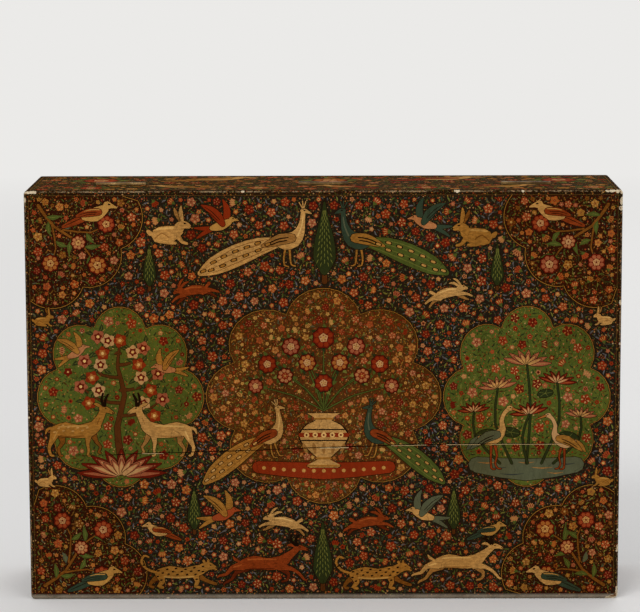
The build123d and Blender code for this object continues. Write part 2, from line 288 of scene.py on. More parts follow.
HARE = [
    ("shade", [[(3.2, 4, 1.1), (4.6, 1.6, 0.7), (6, 1, 0.6)],
        [(4.4, 11, 0.6), (2.2, 14.8, 0.9), (1.4, 17.4, 0.3)]]),
    ("coat", [[(-10, 5.4, 1.2), (-11, 6.4, 0.9)], [(-5.6, 4.6, 3.9), (-0.6, 5.2, 3.9), (3, 6.6, 2.6)],
        [(3.4, 8, 2.4), (5.4, 9.6, 2.1), (8.2, 8.8, 1.1)], [(5.2, 11, 0.7), (4.4, 15.2, 1), (4.6, 18.4, 0.3)],
        [(-5.6, 3.4, 2.4), (-1.4, 1.2, 1), (1.8, 0.9, 0.7)], [(2.6, 4.6, 1.3), (5, 1.4, 0.8), (7.2, 0.7, 0.6)]]),
    ("LIGHT", [[(-7, 7.4, 0.4), (-2, 8, 0.5), (1, 8, 0.3)]]),
    ("SHADE", [[(-8, 2.8, 0.25), (-4.6, 5.6, 0.3), (-1.4, 3.6, 0.25)]]),
    ("INK", [[(6, 10.2, 0.35), (6.7, 10, 0.3)], [(9, 8.8, 0.3), (9.5, 8.5, 0.2)]]),
]

HARE_RUNNING = [
    ("shade", [[(-6.4, 6, 1.6), (-10.4, 4.6, 0.8), (-13.4, 1.8, 0.6)],
        [(5, 6, 1.2), (8.8, 3.2, 0.7), (10.4, 2.4, 0.5)]]),
    ("coat", [[(-9, 9, 0.8), (-11.2, 10.6, 1)], [(-6.4, 7, 2.6), (-11.6, 6.4, 1), (-15.4, 4.4, 0.6)],
        [(4.4, 7, 1.5), (9.8, 6, 0.8), (13, 4, 0.5)], [(-6.6, 7.6, 2.4), (-1.4, 8.6, 2.9), (4.6, 8.2, 2.3)],
        [(5.6, 9.2, 1.9), (8.4, 10, 1.5), (10.6, 9.2, 0.8)], [(6.8, 11, 0.6), (3.4, 13.6, 0.8), (0.8, 14, 0.3)],
        [(7.6, 11.4, 0.5), (5.6, 15, 0.7), (3.6, 16.4, 0.3)]]),
    ("LIGHT", [[(-6, 9.2, 0.35), (0, 10.4, 0.4), (4, 9.8, 0.3)]]),
    ("INK", [[(8.8, 10.6, 0.3), (9.4, 10.5, 0.25)]]),
]

PEAFOWL = [
    ("train", [[(-2, 11, 2.4), (-12, 8.4, 4.6), (-24, 3, 5.8), (-36, -3.4, 4.8), (-43, -7.6, 1.6)]]),
    ("leg", [[(1.4, 8, 0.6), (0.8, 3, 0.45), (1.4, -1, 0.4), (3.6, -1.6, 0.3)],
        [(3.6, 8, 0.6), (4.2, 3, 0.45), (5, -0.6, 0.4), (7.2, -1.2, 0.3)]]),
    ("body", [[(-4, 11, 1.6), (0.4, 11.4, 4.2), (5.6, 13, 4.2), (8.6, 17.4, 2.6), (9.6, 22.4, 1.5), (9.8, 27, 1.2)],
        [(9.8, 28.4, 1.5), (11.6, 28.2, 1), (14.2, 27.2, 0.3)]]),
    ("wing", [[(4.4, 13.6, 2.4), (-1.6, 12.6, 2.9), (-8, 9.8, 1.6), (-11, 8.4, 0.5)]]),
    ("BARB", [[(-4, 12.6, 0.1), (-14, 11, 0.16), (-25, 7, 0.16), (-36, -0.2, 0.14), (-42, -5.4, 0.05)],
        [(-5, 11, 0.1), (-14, 8.6, 0.16), (-25, 4.4, 0.16), (-35, -1.2, 0.14), (-42.4, -6.2, 0.05)],
        [(-4, 10, 0.1), (-14, 6.2, 0.16), (-25, 1.4, 0.16), (-35, -3.8, 0.14), (-42.6, -7.6, 0.05)],
        [(-3, 9, 0.1), (-13, 4.4, 0.16), (-24, -1, 0.16), (-34, -6, 0.14), (-42.4, -8.6, 0.05)]]),
    ("horn", [[(9.4, 29.8, 0.25), (7.4, 32.8, 0.3)], [(9.8, 30, 0.25), (9.2, 33.6, 0.3)],
        [(10.2, 30, 0.25), (11, 33.4, 0.3)]]),
    ("SHADE", [[(2.6, 13.8, 0.3), (-2.4, 12.8, 0.35), (-7.4, 10.4, 0.3)],
        [(2, 12.2, 0.3), (-2.4, 11.2, 0.35), (-6.4, 9.4, 0.3)]]),
    ("LIGHT", [[(7.6, 15, 0.4), (9.4, 20, 0.35), (9.9, 25, 0.3)]]),
    ("INK", [[(10.2, 28.7, 0.35), (10.8, 28.6, 0.3)]]),
]
TRAIN_EYES = [(-8, 9.6), (-13, 6.2), (-13.4, 10), (-19, 7.6), (-19.4, 3.2), (-25, 5), (-25.6, 0.4), (-31, 2),
              (-31.4, -3), (-36.4, -1.4), (-37.4, -5.6), (-41.6, -6.4)]

CRANE = [
    ("tail", [[(-6, 19, 1.8), (-10.4, 16.4, 1.8), (-13.6, 12.4, 0.5)]]),
    ("leg", [[(0.2, 14, 0.8), (0, 8, 0.5), (0.4, 1, 0.5), (2.6, 0.4, 0.35)],
        [(2.4, 14, 0.8), (3.6, 8.6, 0.5), (2.6, 4, 0.45), (4, 1, 0.4), (6, 0.6, 0.3)]]),
    ("body", [[(-6, 18.4, 2), (-1, 18.6, 4.2), (4, 20.4, 3.4), (6.8, 24.4, 1.9), (6.2, 29.4, 1.2), (8, 34, 1.1),
         (10.4, 36.2, 1.3)],
        [(10.6, 36.6, 1.6), (12.4, 36.4, 1.1)]]),
    ("bill", [[(12.8, 36.2, 0.6), (16, 35, 0.4), (19.4, 33.6, 0.1)]]),
    ("wing", [[(3.6, 21, 2.3), (-1.6, 19.8, 3), (-7.4, 16.2, 1.8), (-11.6, 12.6, 0.4)]]),
    ("SHADE", [[(1.6, 20.4, 0.25), (-3, 18.6, 0.3), (-8.4, 15, 0.2)],
        [(1, 18.6, 0.25), (-3, 17, 0.3), (-7.6, 13.8, 0.2)]]),
    ("INK", [[(11, 37.1, 0.35), (11.6, 37, 0.3)]]),
]

BIRD = [
    ("tail", [[(-2, 0.2, 1.1), (-6, -1.6, 1), (-9, -2.8, 0.5)]]),
    ("body", [[(-2.4, 0.2, 1.2), (0.6, 0.8, 2.1), (3.4, 2.4, 1.4)],
        [(4.4, 3.6, 1.3), (5.6, 3.4, 0.7), (7.2, 2.9, 0.2)]]),
    ("wing", [[(1.8, 1.6, 1), (-1.4, 1.4, 1.2), (-4.8, 0.4, 0.4)]]),
    ("LIGHT", [[(2, 2.3, 0.14), (-0.6, 2.3, 0.16), (-2.6, 1.8, 0.06)]]),
    ("INK", [[(4.8, 3.9, 0.25), (5.2, 3.8, 0.2)], [(1.2, 1.5, 0.08), (-1.8, 1.4, 0.12), (-4.4, 0.6, 0.05)],
        [(0.8, 0.9, 0.08), (-1.6, 0.8, 0.11), (-3.8, 0.2, 0.05)],
        [(-3.4, -0.2, 0.08), (-6, -1.4, 0.12), (-8.6, -2.6, 0.06)]]),
]

BIRD_FLYING = [
    ("wing", [[(1.6, 1.8, 1), (3.2, 5, 1.5), (3, 8.6, 1.2), (1.6, 11.6, 0.3)]]),
    ("tail", [[(-3, -0.2, 0.8), (-7, -0.4, 0.8), (-10.4, -0.2, 0.3)],
        [(-3, -0.6, 0.8), (-6.6, -2.4, 0.8), (-9.4, -4.4, 0.3)]]),
    ("body", [[(-3, -0.2, 1.1), (0.6, 0.8, 1.9), (4, 2.4, 1.3)], [(5.2, 3.4, 1.2), (6.4, 3.3, 0.6), (8, 3, 0.2)]]),
    ("wing", [[(1.4, 1.4, 1.1), (-0.6, 4.6, 1.9), (-3.8, 7.6, 1.5), (-7.4, 9.4, 0.3)]]),
    ("INK", [[(5.6, 3.8, 0.25), (6, 3.7, 0.2)], [(0.2, 3.2, 0.14), (-3, 6.6, 0.16), (-6, 8.6, 0.1)],
        [(-0.8, 3, 0.14), (-4, 6, 0.14), (-6, 7.4, 0.1)]]),
]


def animal(pen, groups, coat, spots=(), spot="ink", spot_size=0.55):
    """An animal in the named coat, with its spots if it has them."""
    pen.figure(groups, {"horn": "ink", "coat": coat, "shade": coat + "_shade", "light": coat + "_light"})
    for x, y in spots:
        pen.draw([(x - 0.4, y, spot_size), (x + 0.4, y + 0.2, spot_size)], spot, steps=1)


def peafowl(pen, body, wing, train, eye, light):
    """A peacock or peahen with its train down."""
    barb = "leaf_light" if train == "leaf" else "ochre_shade"
    pen.figure(PEAFOWL, {"body": body, "wing": wing, "train": train, "leg": "ochre", "horn": body, "shade": "ink",
                         "light": light, "barb": barb})
    for x, y in TRAIN_EYES:
        pen.draw([(x - 1, y - 0.4, 0.9), (x + 1, y + 0.4, 0.9)], "ink", steps=1)
        pen.draw([(x - 0.7, y - 0.3, 0.6), (x + 0.7, y + 0.3, 0.6)], eye, steps=1)


def crane(pen, body, wing):
    pen.figure(CRANE, {"body": body, "wing": wing, "tail": wing, "leg": "roan", "bill": "orange", "shade": "ink"},
               line=0.4)


def bird(pen, body, wing, flying=False):
    colours = {"body": body, "wing": wing, "tail": wing, "light": "ochre_light"}
    pen.figure(BIRD_FLYING if flying else BIRD, colours, line=0.4, halo=1)


# ---------------------------------------------------------------- flowers, leaves, trees and vessels

TURN = 6.28             # about a full turn, for angles that are drawn at random
NOTCHED_FAN = both_sides([(0, -0.9), (0.62, -0.3), (1, 0.5), (0.66, 0.62), (0.5, 1), (0.2, 0.7), (0, 1.12)])
CUP = both_sides([(0, -1.15), (0.5, -0.42), (0.2, -0.1), (0, -0.4)])
BUD = both_sides([(0, -1), (0.7, 0.2), (0.3, 1), (0, 0.5)])


def blossom(pen, radius, rim, heart, eye, edge=None):
    """An open flower of five petals seen from the front; a small one has fewer corners and no heart."""
    petals, start = 5, pen.panel.rng.uniform(0, TURN)
    if edge:
        pen.fill(ring(radius + 0.35, petals * 2, 0.14, petals, start), edge)
    pen.fill(ring(radius, petals * (4 if radius > 3 else 2), 0.17, petals, start), rim)
    if radius > 1.7:
        pen.fill(ring(radius * 0.58, petals * 2, 0.2, petals, start + math.pi / petals), heart)
    pen.fill(ring(radius * 0.26, 4 if radius < 3 else 6, start=start), eye)


def petals_round(pen, count, out, radius, corners, colour, turned=False):
    """Small round petals in a ring about the pen."""
    for k in range(count):
        angle = math.pi * (2 / count) * k
        middle = (out * math.cos(angle), out * math.sin(angle))
        pen.fill(ring(radius, corners, centre=middle, start=angle * turned), colour)


def rose(pen, radius, rim, heart, eye):
    """A full flower: eight broad petals round five small ones."""
    pen.fill(ring(radius + 0.5, 24, 0.07, 8), "ink")
    pen.fill(ring(radius, 24, 0.1, 8), "crimson")
    petals_round(pen, 8, radius * 0.68, radius * 0.245, 7, rim, turned=True)
    pen.fill(ring(radius * 0.41, 15, 0.12, 5), heart)
    petals_round(pen, 5, radius * 0.25, radius * 0.08, 4, rim)
    pen.fill(ring(radius * 0.13, 6), eye)


def open_flower(pen, radius, rim, light, rng):
    """A flower seen from the front: five petals, each with a light stroke, round a small heart."""
    start = rng.uniform(0, TURN)
    pen.fill(ring(radius, 20, 0.16, 5, start), rim)
    for k in range(5):
        angle = math.degrees(start) + 72 * k
        petal = Pen(pen.panel, pen.at, angle - 90 + rng.uniform(-8, 8))
        near_end, far_end = 0.34 * radius, rng.uniform(0.8, 1.0) * radius
        side = rng.uniform(0.14, 0.24) * radius
        petal.fill([(0, near_end), (side, 0.7 * radius), (0.3 * side, far_end), (-side, 0.74 * radius)], light)
    pen.fill(ring(radius * 0.28, 6, start=start), "crimson" if light != "crimson" else "cream")
    pen.fill(ring(radius * 0.13, 4, start=start), "cream")


def half_open(pen, radius, rim, light):
    """A flower seen from the side: a notched fan of petals over a green cup."""
    pen.fill(NOTCHED_FAN * radius, rim)
    for x in (-0.52, 0, 0.52):
        petal = np.array([(0.4 * x, -0.3), (x + 0.13, 0.4), (1.1 * x, 0.72), (x - 0.13, 0.4)])
        pen.fill(petal * radius, light)
    pen.fill(CUP * radius, "leaf")


def curl(pen, length, width, colour):
    """A small bowed leaf growing along +Y from the pen's place."""
    outline = [(0, 0), (0.62, 0.3), (0.66, 0.68), (0.1, 1), (0.1, 0.62), (-0.16, 0.32)]
    pen.fill(np.array(outline) * (width, length), colour)


def leaf(pen, length, width, colour, vein=None, foot=0.0):
    """A pointed leaf growing along +Y from a foot above the pen's place; a short one has no round sides."""
    bow, side = 0.25 * width, width / 2
    if length > 6:
        pen.draw([(0, foot, 0.05), (bow, foot + length * 0.45, side), (0, foot + length, HAIR)], colour)
    else:
        pen.fill([(0, foot), (bow + side, foot + length * 0.4), (0, foot + length),
                  (bow - side, foot + length * 0.5)], colour)
    if vein:
        pen.draw([(bow * 0.5, foot + length * 0.2, 0.12), (bow, foot + length * 0.45, 0.2),
                  (bow * 0.6, foot + length * 0.75, 0.06)], vein, steps=1)


def cypress(pen, height):
    """A tall flame-shaped tree with rows of light scales."""
    h = height
    flame = [(0, 0.14 * h, 0.06 * h), (0, 0.3 * h, 0.14 * h), (0, 0.55 * h, 0.115 * h), (0, 0.8 * h, 0.05 * h),
             (0, h, 0.012 * h)]
    pen.figure([("trunk", [[(0, 0, 0.035 * h), (0, 0.16 * h, 0.025 * h)]]), ("body", [flame])],
               {"trunk": "brown", "body": "leaf_dark"}, halo=1.5)
    rows = int(h / 3.2)
    for k in range(rows):
        rise = (0.19 + 0.7 * k / rows) * h
        spread = 0.10 * h * (1 - k / rows) ** 0.7 + 0.3
        for x in (-spread, 0, spread) if k % 2 else (-spread / 2, spread / 2):
            pen.draw([(x, rise, 0.14), (x * 0.85, rise + 2, 0.36), (x * 0.75, rise + 3, 0.1)], "leaf_light", steps=1)


def flower_tree(pen, height, rng):
    """A slender tree with a swaying trunk, side boughs, leaves and open blossoms."""
    h = height
    trunk = [(0, 0, 0.03 * h), (0.03 * h, 0.25 * h, 0.022 * h), (-0.03 * h, 0.5 * h, 0.018 * h),
             (0.02 * h, 0.72 * h, 0.012 * h), (0, 0.9 * h, 0.006 * h)]
    boughs, tips = [trunk], [(0, 0.93 * h)]
    for k, rise in enumerate((0.34, 0.44, 0.54, 0.64, 0.74, 0.83)):
        reach = (0.36 - 0.18 * (rise - 0.34)) * h * (0.9 if k < 4 else 0.62) * (1 if k % 2 else -1)
        tip = (reach, (rise + 0.13) * h)
        boughs.append([(0, rise * h, 0.012 * h), (reach * 0.5, (rise + 0.02) * h, 0.009 * h), (*tip, 0.005 * h)])
        tips += [tip, (reach * 0.55, (rise + 0.1) * h), (reach * 0.8, rise * h)]
    pen.figure([("bark", boughs)], {"bark": "brown"}, line=0.35, halo=1)
    for x, y in tips:
        for k in range(6):
            sprig = pen.moved(x, y, rng.uniform(0, 60) + 60 * k)
            length = rng.uniform(0.055, 0.075) * h
            leaf(sprig, length, 0.036 * h, "leaf_dark" if k % 2 else "leaf", vein="leaf_light", foot=0.036 * h)
        pen.take(ring(0.11 * h, 12, centre=(x, y)))
    for k, (x, y) in enumerate(tips):
        rim, heart = ("red", "pink", "blush")[k % 3], "crimson" if k % 3 else "orange"
        blossom(pen.moved(x, y), 0.05 * h, rim, heart, "cream_light", "ink")


def lotus(pen, size, outer="crimson", inner="pink", tip="blush", ranks=((9, 1.0, 84), (7, 0.8, 62), (5, 0.62, 40))):
    """A lotus: ranks of (petals, reach, spread in degrees) in a fan, the widest at the back."""
    for rank, (count, reach, spread) in enumerate(ranks):
        body, streak = (inner, tip) if rank else (outer, inner)
        for k in range(count):
            angle = math.radians(-spread + 2 * spread * k / (count - 1))
            x, y = size * reach * math.sin(angle) * 1.25, size * reach * math.cos(angle) * 0.75
            foot = (x * 0.15, y * 0.15, 0.06 * size)
            rows = [foot, (x * 0.62, y * 0.62, 0.12 * size * reach), (x, y, 0.015 * size)]
            pen.panel.take(stroke(pen.brush(rows), 1.2))
            pen.draw(rows, "ink", grow=0.4)
            pen.draw(rows, body)
            pen.draw([foot, (x * 0.55, y * 0.55, 0.05 * size), (x * 0.86, y * 0.86, 0.01 * size)], streak)


VASE = [(0.30, 0), (0.34, 0.05), (0.14, 0.14), (0.16, 0.2), (0.42, 0.42), (0.5, 0.6), (0.36, 0.78), (0.18, 0.86),
        (0.2, 0.92), (0.34, 1)]
VASE_BANDS = ((0.6, 0.42, 0.04, "red"), (0.5, 0.4, 0.012, "ink"), (0.7, 0.37, 0.012, "ink"),
              (0.9, 0.16, 0.018, "ochre"), (0.17, 0.12, 0.02, "ochre"), (0.03, 0.28, 0.02, "ochre"))


def vase(pen, height):
    """A footed flask turned about its upright axis, with bands of (level, half length, half width, colour)."""
    h = height
    side = bend(np.array(VASE) * h * (0.86, 1), 3)
    outline = np.vstack([side, side[::-1] * (-1, 1)])
    pen.take(outline * (1.15, 1.04))
    pen.fill(outline * (1.07, 1.02) - (0, 0.3), "ink")
    pen.fill(outline, "cream")
    for level, half, thick, colour in VASE_BANDS:
        pen.draw([(-half * h, level * h, thick * h), (half * h, level * h, thick * h)], colour, steps=1)
    for k in range(5):
        x = (k - 2) * 0.155 * h
        pen.fill(ring(0.05 * h, 8, centre=(x, 0.6 * h)), "cream_light")
        pen.fill(ring(0.022 * h, 5, centre=(x, 0.6 * h)), "crimson")
        pen.draw([(x, 0.27 * h, 0.02 * h), (x * 1.12, 0.38 * h, 0.035 * h), (x * 1.2, 0.45 * h, 0.008 * h)],
                 "cream_shade")


# how far each rose lies across and up, as shares of the spray's reach, its radius and its colour
ROSES = [(0, 1.0, 8, "red"), (-0.44, 0.88, 6.6, "pink"), (0.44, 0.88, 6.6, "pink"), (-0.22, 0.66, 6.4, "orange"),
         (0.22, 0.66, 6.4, "orange"), (-0.76, 0.64, 6.6, "red"), (0.76, 0.64, 6.6, "red"),
         (-0.52, 0.48, 5.8, "salmon"), (0.52, 0.48, 5.8, "salmon"), (0, 0.38, 6.6, "red"),
         (-0.92, 0.34, 5.4, "pink"), (0.92, 0.34, 5.4, "pink")]


def bouquet(pen, reach, rng):
    """A full spray of stems, leaves and roses that fans out of a vase's mouth."""
    for x, y, radius, _ in ROSES:
        x, y = x * reach, y * reach
        pen.figure([("stem", [[(0, 0, 0.5), (x * 0.45, y * 0.62, 0.45), (x, y, 0.3)]])], {"stem": "leaf"},
                   line=0.3, halo=2.5)
        pen.take(ring(radius + 3, 16, centre=(x, y)))
        for k in range(8):
            sprig = pen.moved(x, y, 45 * k + rng.uniform(-16, 16))
            leaf(sprig, rng.uniform(3.6, 5.2), 3, ("leaf", "leaf_dark", "leaf_light")[k % 3], foot=radius * 0.85)
    for x, y, radius, colour in ROSES:
        head = pen.moved(x * reach, y * reach, rng.uniform(0, 50))
        rose(head, radius, colour, "blush" if colour != "salmon" else "red", "ochre_light")


# ---------------------------------------------------------------- strewn blossoms

Strewing = namedtuple("Strewing", "petals hearts leaves stem scale pitch")


def strewing(petals, hearts, leaves, stem, scale=1.0, pitch=1.0):
    """The mix of blossoms, leaves and stems that fills one zone of a panel."""
    return Strewing(petals.split(), hearts.split(), leaves.split(), stem, scale, pitch)


def disc(radius):
    """The grid steps that lie within a radius, in mm, of a cell."""
    reach = int(radius / CELL)
    steps = grid_of(*[np.arange(-reach, reach + 1)] * 2)
    return steps[np.hypot(*steps.T) * CELL <= radius]


def near(blocked, radius):
    """The cells within a radius of a blocked one."""
    wide = blocked.copy()
    reach = int(radius / CELL)
    for step in range(-reach, reach + 1):
        span = int(math.sqrt(max(radius**2 - (step * CELL) ** 2, 0)) / CELL)
        row = np.zeros_like(blocked)
        if step >= 0:
            row[step:] = blocked[:len(blocked) - step]
        else:
            row[:step] = blocked[-step:]
        total = np.cumsum(np.pad(row, ((0, 0), (span + 1, span))), axis=1, dtype=np.int32)
        wide |= (total[:, 2 * span + 1:] - total[:, :-2 * span - 1]) > 0
    return wide


def scatter(panel, zone, radius, pitch, rng):
    """Places at least a pitch apart whose round patches lie free in one zone; they are taken."""
    blocked = near(panel.taken | (panel.zone != zone), radius)
    room = np.argwhere(~blocked)
    order = list(range(len(room)))
    rng.shuffle(order)
    apart, patch = disc(pitch), disc(radius)
    limit = np.array(blocked.shape) - 1
    found = []
    for k in order:
        if not blocked[tuple(room[k])]:
            found.append(panel.low + room[k] * CELL + (rng.uniform(-0.2, 0.2), rng.uniform(-0.2, 0.2)))
            blocked[tuple(np.clip(room[k] + apart, 0, limit).T)] = True
            panel.taken[tuple(np.clip(room[k] + patch, 0, limit).T)] = True
    return found


LONGEST_STEM = 13.5     # between two flowers of a strewing's own size
STEM_GAP = 0.2          # between a flower's rim and its stem


def link(panel, zone, flowers, style, rng):
    """Thin bowed stems from each flower to a neighbour or two."""
    places = np.array([f[:2] for f in flowers])
    reach = np.array([f[2] for f in flowers])
    joined = set()
    for i, here in enumerate(places):
        away = np.hypot(*(places - here).T)
        for j in np.argsort(away)[1:3]:
            pair = (min(i, j), max(i, j))
            if away[j] > LONGEST_STEM * style.scale or pair in joined:
                continue
            joined.add(pair)
            along = (places[j] - here) / away[j]
            side = np.array((-along[1], along[0]))
            foot, tip = here + along * (reach[i] + STEM_GAP), places[j] - along * (reach[j] + STEM_GAP)
            middle = (foot + tip) / 2 + side * rng.uniform(-0.2, 0.2) * away[j]
            thin = side * 0.17 * style.scale**0.5
            if free(panel, middle, 0.4, zone):
                panel.paint([foot + thin, middle + thin, tip + thin, tip - thin, middle - thin, foot - thin],
                            style.stem)
                for share in np.linspace(0, 1, 6):
                    spot = foot * (1 - share) ** 2 + 2 * middle * share * (1 - share) + tip * share**2
                    panel.taken[panel.at(spot)] = True


def free(panel, at, radius, zone):
    """Whether a small patch lies in one zone and none of it is taken."""
    steps = ((0, 0), (radius, 0), (-radius, 0), (0, radius), (0, -radius))
    spots = [panel.at((at[0] + x, at[1] + y)) for x, y in steps]
    return all(panel.zone[spot] == zone and not panel.taken[spot] for spot in spots)


FLOWER, SMALL_FLOWER, BUDDING = 2, 1, 0
FLOWER_SIZES = ((3.2, 11.8, FLOWER), (1.75, 9.6, SMALL_FLOWER), (0.9, 7.4, BUDDING))    # radius, pitch, sort
LEAF_SIZES = ((4.3, 4.4), (2.6, 3.3))                                                   # length, pitch


def strew(panel, zone, style, rng):
    """Fills the free room of one zone with linked blossoms, buds and leaves."""
    scale, flowers = style.scale, []
    for radius, pitch, sort in FLOWER_SIZES:
        for at in scatter(panel, zone, (radius + 0.4) * scale, pitch * scale * style.pitch, rng):
            flowers.append((*at, radius * scale * rng.uniform(0.88, 1.12), sort))
    link(panel, zone, [f for f in flowers if f[3] != BUDDING], style, rng)
    for x, y, radius, sort in flowers:
        rim, heart = rng.choice(style.petals), rng.choice(style.hearts)
        pen = Pen(panel, (x, y), rng.uniform(0, 360))
        if sort == FLOWER and rng.random() < 0.3:
            half_open(pen, radius, rim, heart)
        elif sort == FLOWER:
            open_flower(pen, radius, *rng.choice(PAIRS.get(rim, [(rim, heart)])), rng)
        elif sort == SMALL_FLOWER:
            blossom(pen, radius, rim, heart, rng.choice(("cream", "ink", "gold", "blush")))
        else:
            pen.fill(BUD * radius, rim)
    for length, pitch in LEAF_SIZES:
        for at in scatter(panel, zone, 0.4 * length * scale, pitch * scale, rng):
            pen = Pen(panel, at, rng.uniform(0, 360), scale, rng.choice((-1, 1)))
            pen.at = pen.spot(0, -0.5 * length)
            curl(pen, length, 0.36 * length, rng.choice(style.leaves))


# ---------------------------------------------------------------- the front of the lid

MARGIN = 4.3            # what the painted field keeps clear of the box's edges
LINE_INSET = 3.65       # the middle of the thin bronze line round the face
LINE_REACH = 1.3        # what flowers keep clear of a medallion's line, to each side

FIELD, MIDDLE, SIDE, CORNER = 0, 1, 2, 3
# the rims and petal strokes that an open flower of each colour may have
PAIRS = {
    "red": [("crimson", "red_light"), ("red", "salmon")], "red_light": [("red", "salmon"), ("red_light", "blush")],
    "orange": [("orange", "ochre_light"), ("red_light", "orange")], "salmon": [("red", "blush"), ("pink", "blush")],
    "pink": [("crimson", "pink"), ("pink", "blush")], "blush": [("salmon", "cream_light"), ("pink", "cream")],
    "ochre_light": [("ochre", "cream"), ("orange", "cream")]}
FLOWERS = {
    MIDDLE: strewing("red ochre_light orange pink red_light ochre_light", "cream ochre_light crimson",
                     "leaf ochre leaf_light red ochre bronze crimson slate", "ochre_shade", 0.8),
    SIDE: strewing("red red_light red salmon crimson pink", "cream crimson orange",
                   "leaf_dark leaf_light leaf_dark bronze_shade leaf_dark", "leaf_dark", 1.05, 1.08),
    CORNER: strewing("orange ochre red_light roan_light pink ochre_shade", "cream red ochre crimson",
                     "leaf slate leaf_light bronze leaf_dark leaf", "bronze", 0.92),
    FIELD: strewing("red red_light red roan_light salmon pink red_light red", "cream ochre_light crimson blush",
                    "leaf mist teal mist leaf leaf_light mist slate", "mist_dark"),
}
SIDE_STRIP = strewing("red_light orange ochre red salmon ochre_shade", "cream crimson ochre",
                      "leaf_light leaf ochre_shade leaf teal ochre", "stem", 1.4)


def keep_clear(panel, line):
    """Keeps blossoms off a line between two zones."""
    for a, b in zip(line, line[1:]):
        panel.take(stroke([(*a, LINE_REACH), (*b, LINE_REACH)], steps=1))


def medallion(panel, centre, radius, number, ground):
    """A scalloped panel with a gold line, an inner ink line and its own ground."""
    outline = lobed(centre, radius, 8, math.pi / 8)
    away = outline - centre
    away /= np.linalg.norm(away, axis=1, keepdims=True)
    for grow, colour in ((0.8, "ink"), (0.32, "gold"), (-0.18, "ink"), (-0.6, ground)):
        panel.paint(outline + away * grow, colour)
    panel.name_zone(outline, number)
    keep_clear(panel, np.vstack([outline, outline[:1]]))


def quarter(panel, corner, radius, number, ground):
    """A scalloped quarter in one corner of the face, lined along its curved side."""
    sx, sy = [(-1 if c > m else 1) for c, m in zip(corner, (panel.low + panel.high) / 2)]
    foot = np.array(corner) + (sx * (LINE_INSET + 0.4), sy * (LINE_INSET + 0.4))
    start = {(1, 1): 0, (-1, 1): 1, (-1, -1): 2, (1, -1): 3}[(sx, sy)] * math.pi / 2
    end = foot + radius * 0.84 * np.array((math.cos(start + math.pi / 2), math.sin(start + math.pi / 2)))
    curve = np.vstack([lobed(foot, (radius, radius), 3, start, math.pi / 2, each=12, hub=0.74, arc=0.30), end])
    panel.paint(np.vstack([curve, foot]), ground)
    panel.name_zone(np.vstack([curve, foot]), number)
    for half, colour in ((0.8, "ink"), (0.25, "gold")):
        panel.paint(stroke(np.column_stack([curve, np.full(len(curve), half)]), steps=1), colour)
    keep_clear(panel, curve)


def paint_front(panel, rng):
    """Scalloped panels on a dark flowered field, with beasts, birds and trees among the flowers."""
    medallion(panel, (0, 158), (86, 80), MIDDLE, "gold_ground")
    for x in (-154, 154):
        medallion(panel, (x, 157.5), (61, 67), SIDE, "green")
    for x in (-225, 225):
        for y in (0, 315):
            quarter(panel, (x, y), 84, CORNER, "maroon")
    paint_middle(panel, rng)
    paint_garden(panel, -154, rng)
    paint_pool(panel, 154)
    for sx, sy, rim, heart in ((-1, -1, "red_light", "blush"), (1, -1, "orange", "cream"),
                               (-1, 1, "orange", "cream"), (1, 1, "pink", "blush")):
        spray(panel, sx, sy, rim, heart, rng)
    paint_field(panel)
    for zone, style in FLOWERS.items():
        strew(panel, zone, style, rng)


def paint_middle(panel, rng):
    """A vase of roses between two birds, over a red mat."""
    pen = Pen(panel, (0, 106))
    pen.figure([("mat", [[(-50, -2.6, 4.6), (0, -5.8, 6.4), (50, -2.6, 4.6)]])], {"mat": "red"}, halo=1.5)
    for k in range(-6, 7):
        pen.fill(ring(1.5, 8, centre=(k * 7.6, -5.6 + 0.065 * k**2)), "ochre_light")
    vase(Pen(panel, (0, 103)), 42)
    bouquet(Pen(panel, (0, 147)), 56, rng)
    peafowl(Pen(panel, (-40, 112), 12, 1.25, 1), "cream", "roan", "ochre", "cream", "cream_light")
    peafowl(Pen(panel, (40, 112), -12, 1.25, -1), "teal", "roan", "leaf", "ochre_light", "slate")


def paint_garden(panel, x, rng):
    """A flowering tree with two deer under it and birds round its crown."""
    flower_tree(Pen(panel, (x, 110), 0, 1, -1), 98, rng)
    lotus(Pen(panel, (x, 97)), 27)
    animal(Pen(panel, (x - 33, 112), 0, 1.2), DEER, "ochre", DEER_SPOTS, "cream", 0.5)
    animal(Pen(panel, (x + 33, 112), 0, 1.2, -1), DEER, "cream")
    for dx, y, flip in ((36, 178, -1), (-34, 190, 1)):
        bird(Pen(panel, (x + dx, y), 10, 1.5, flip), "salmon", "ochre", flying=True)


# the pool's ripples (x, y, half length), lotuses (x, rise, size, lean) and floating leaves (x, y, half width, turn)
RIPPLES = ((-30, 3, 7), (-11, -6, 9), (12, -1, 8), (31, 2, 6), (0, 3, 6), (-20, -1, 5), (22, -5, 6))
TALL_LOTUSES = ((0, 78, 15, 3), (-22, 60, 12, -4), (23, 64, 12, 4), (-40, 42, 10, -3), (41, 38, 10, 3),
                (2, 40, 12, -5))
PADS = ((-31, 24, 8, 14), (32, 22, 8, -12), (-12, 26, 7, -8), (14, 56, 6, 10))


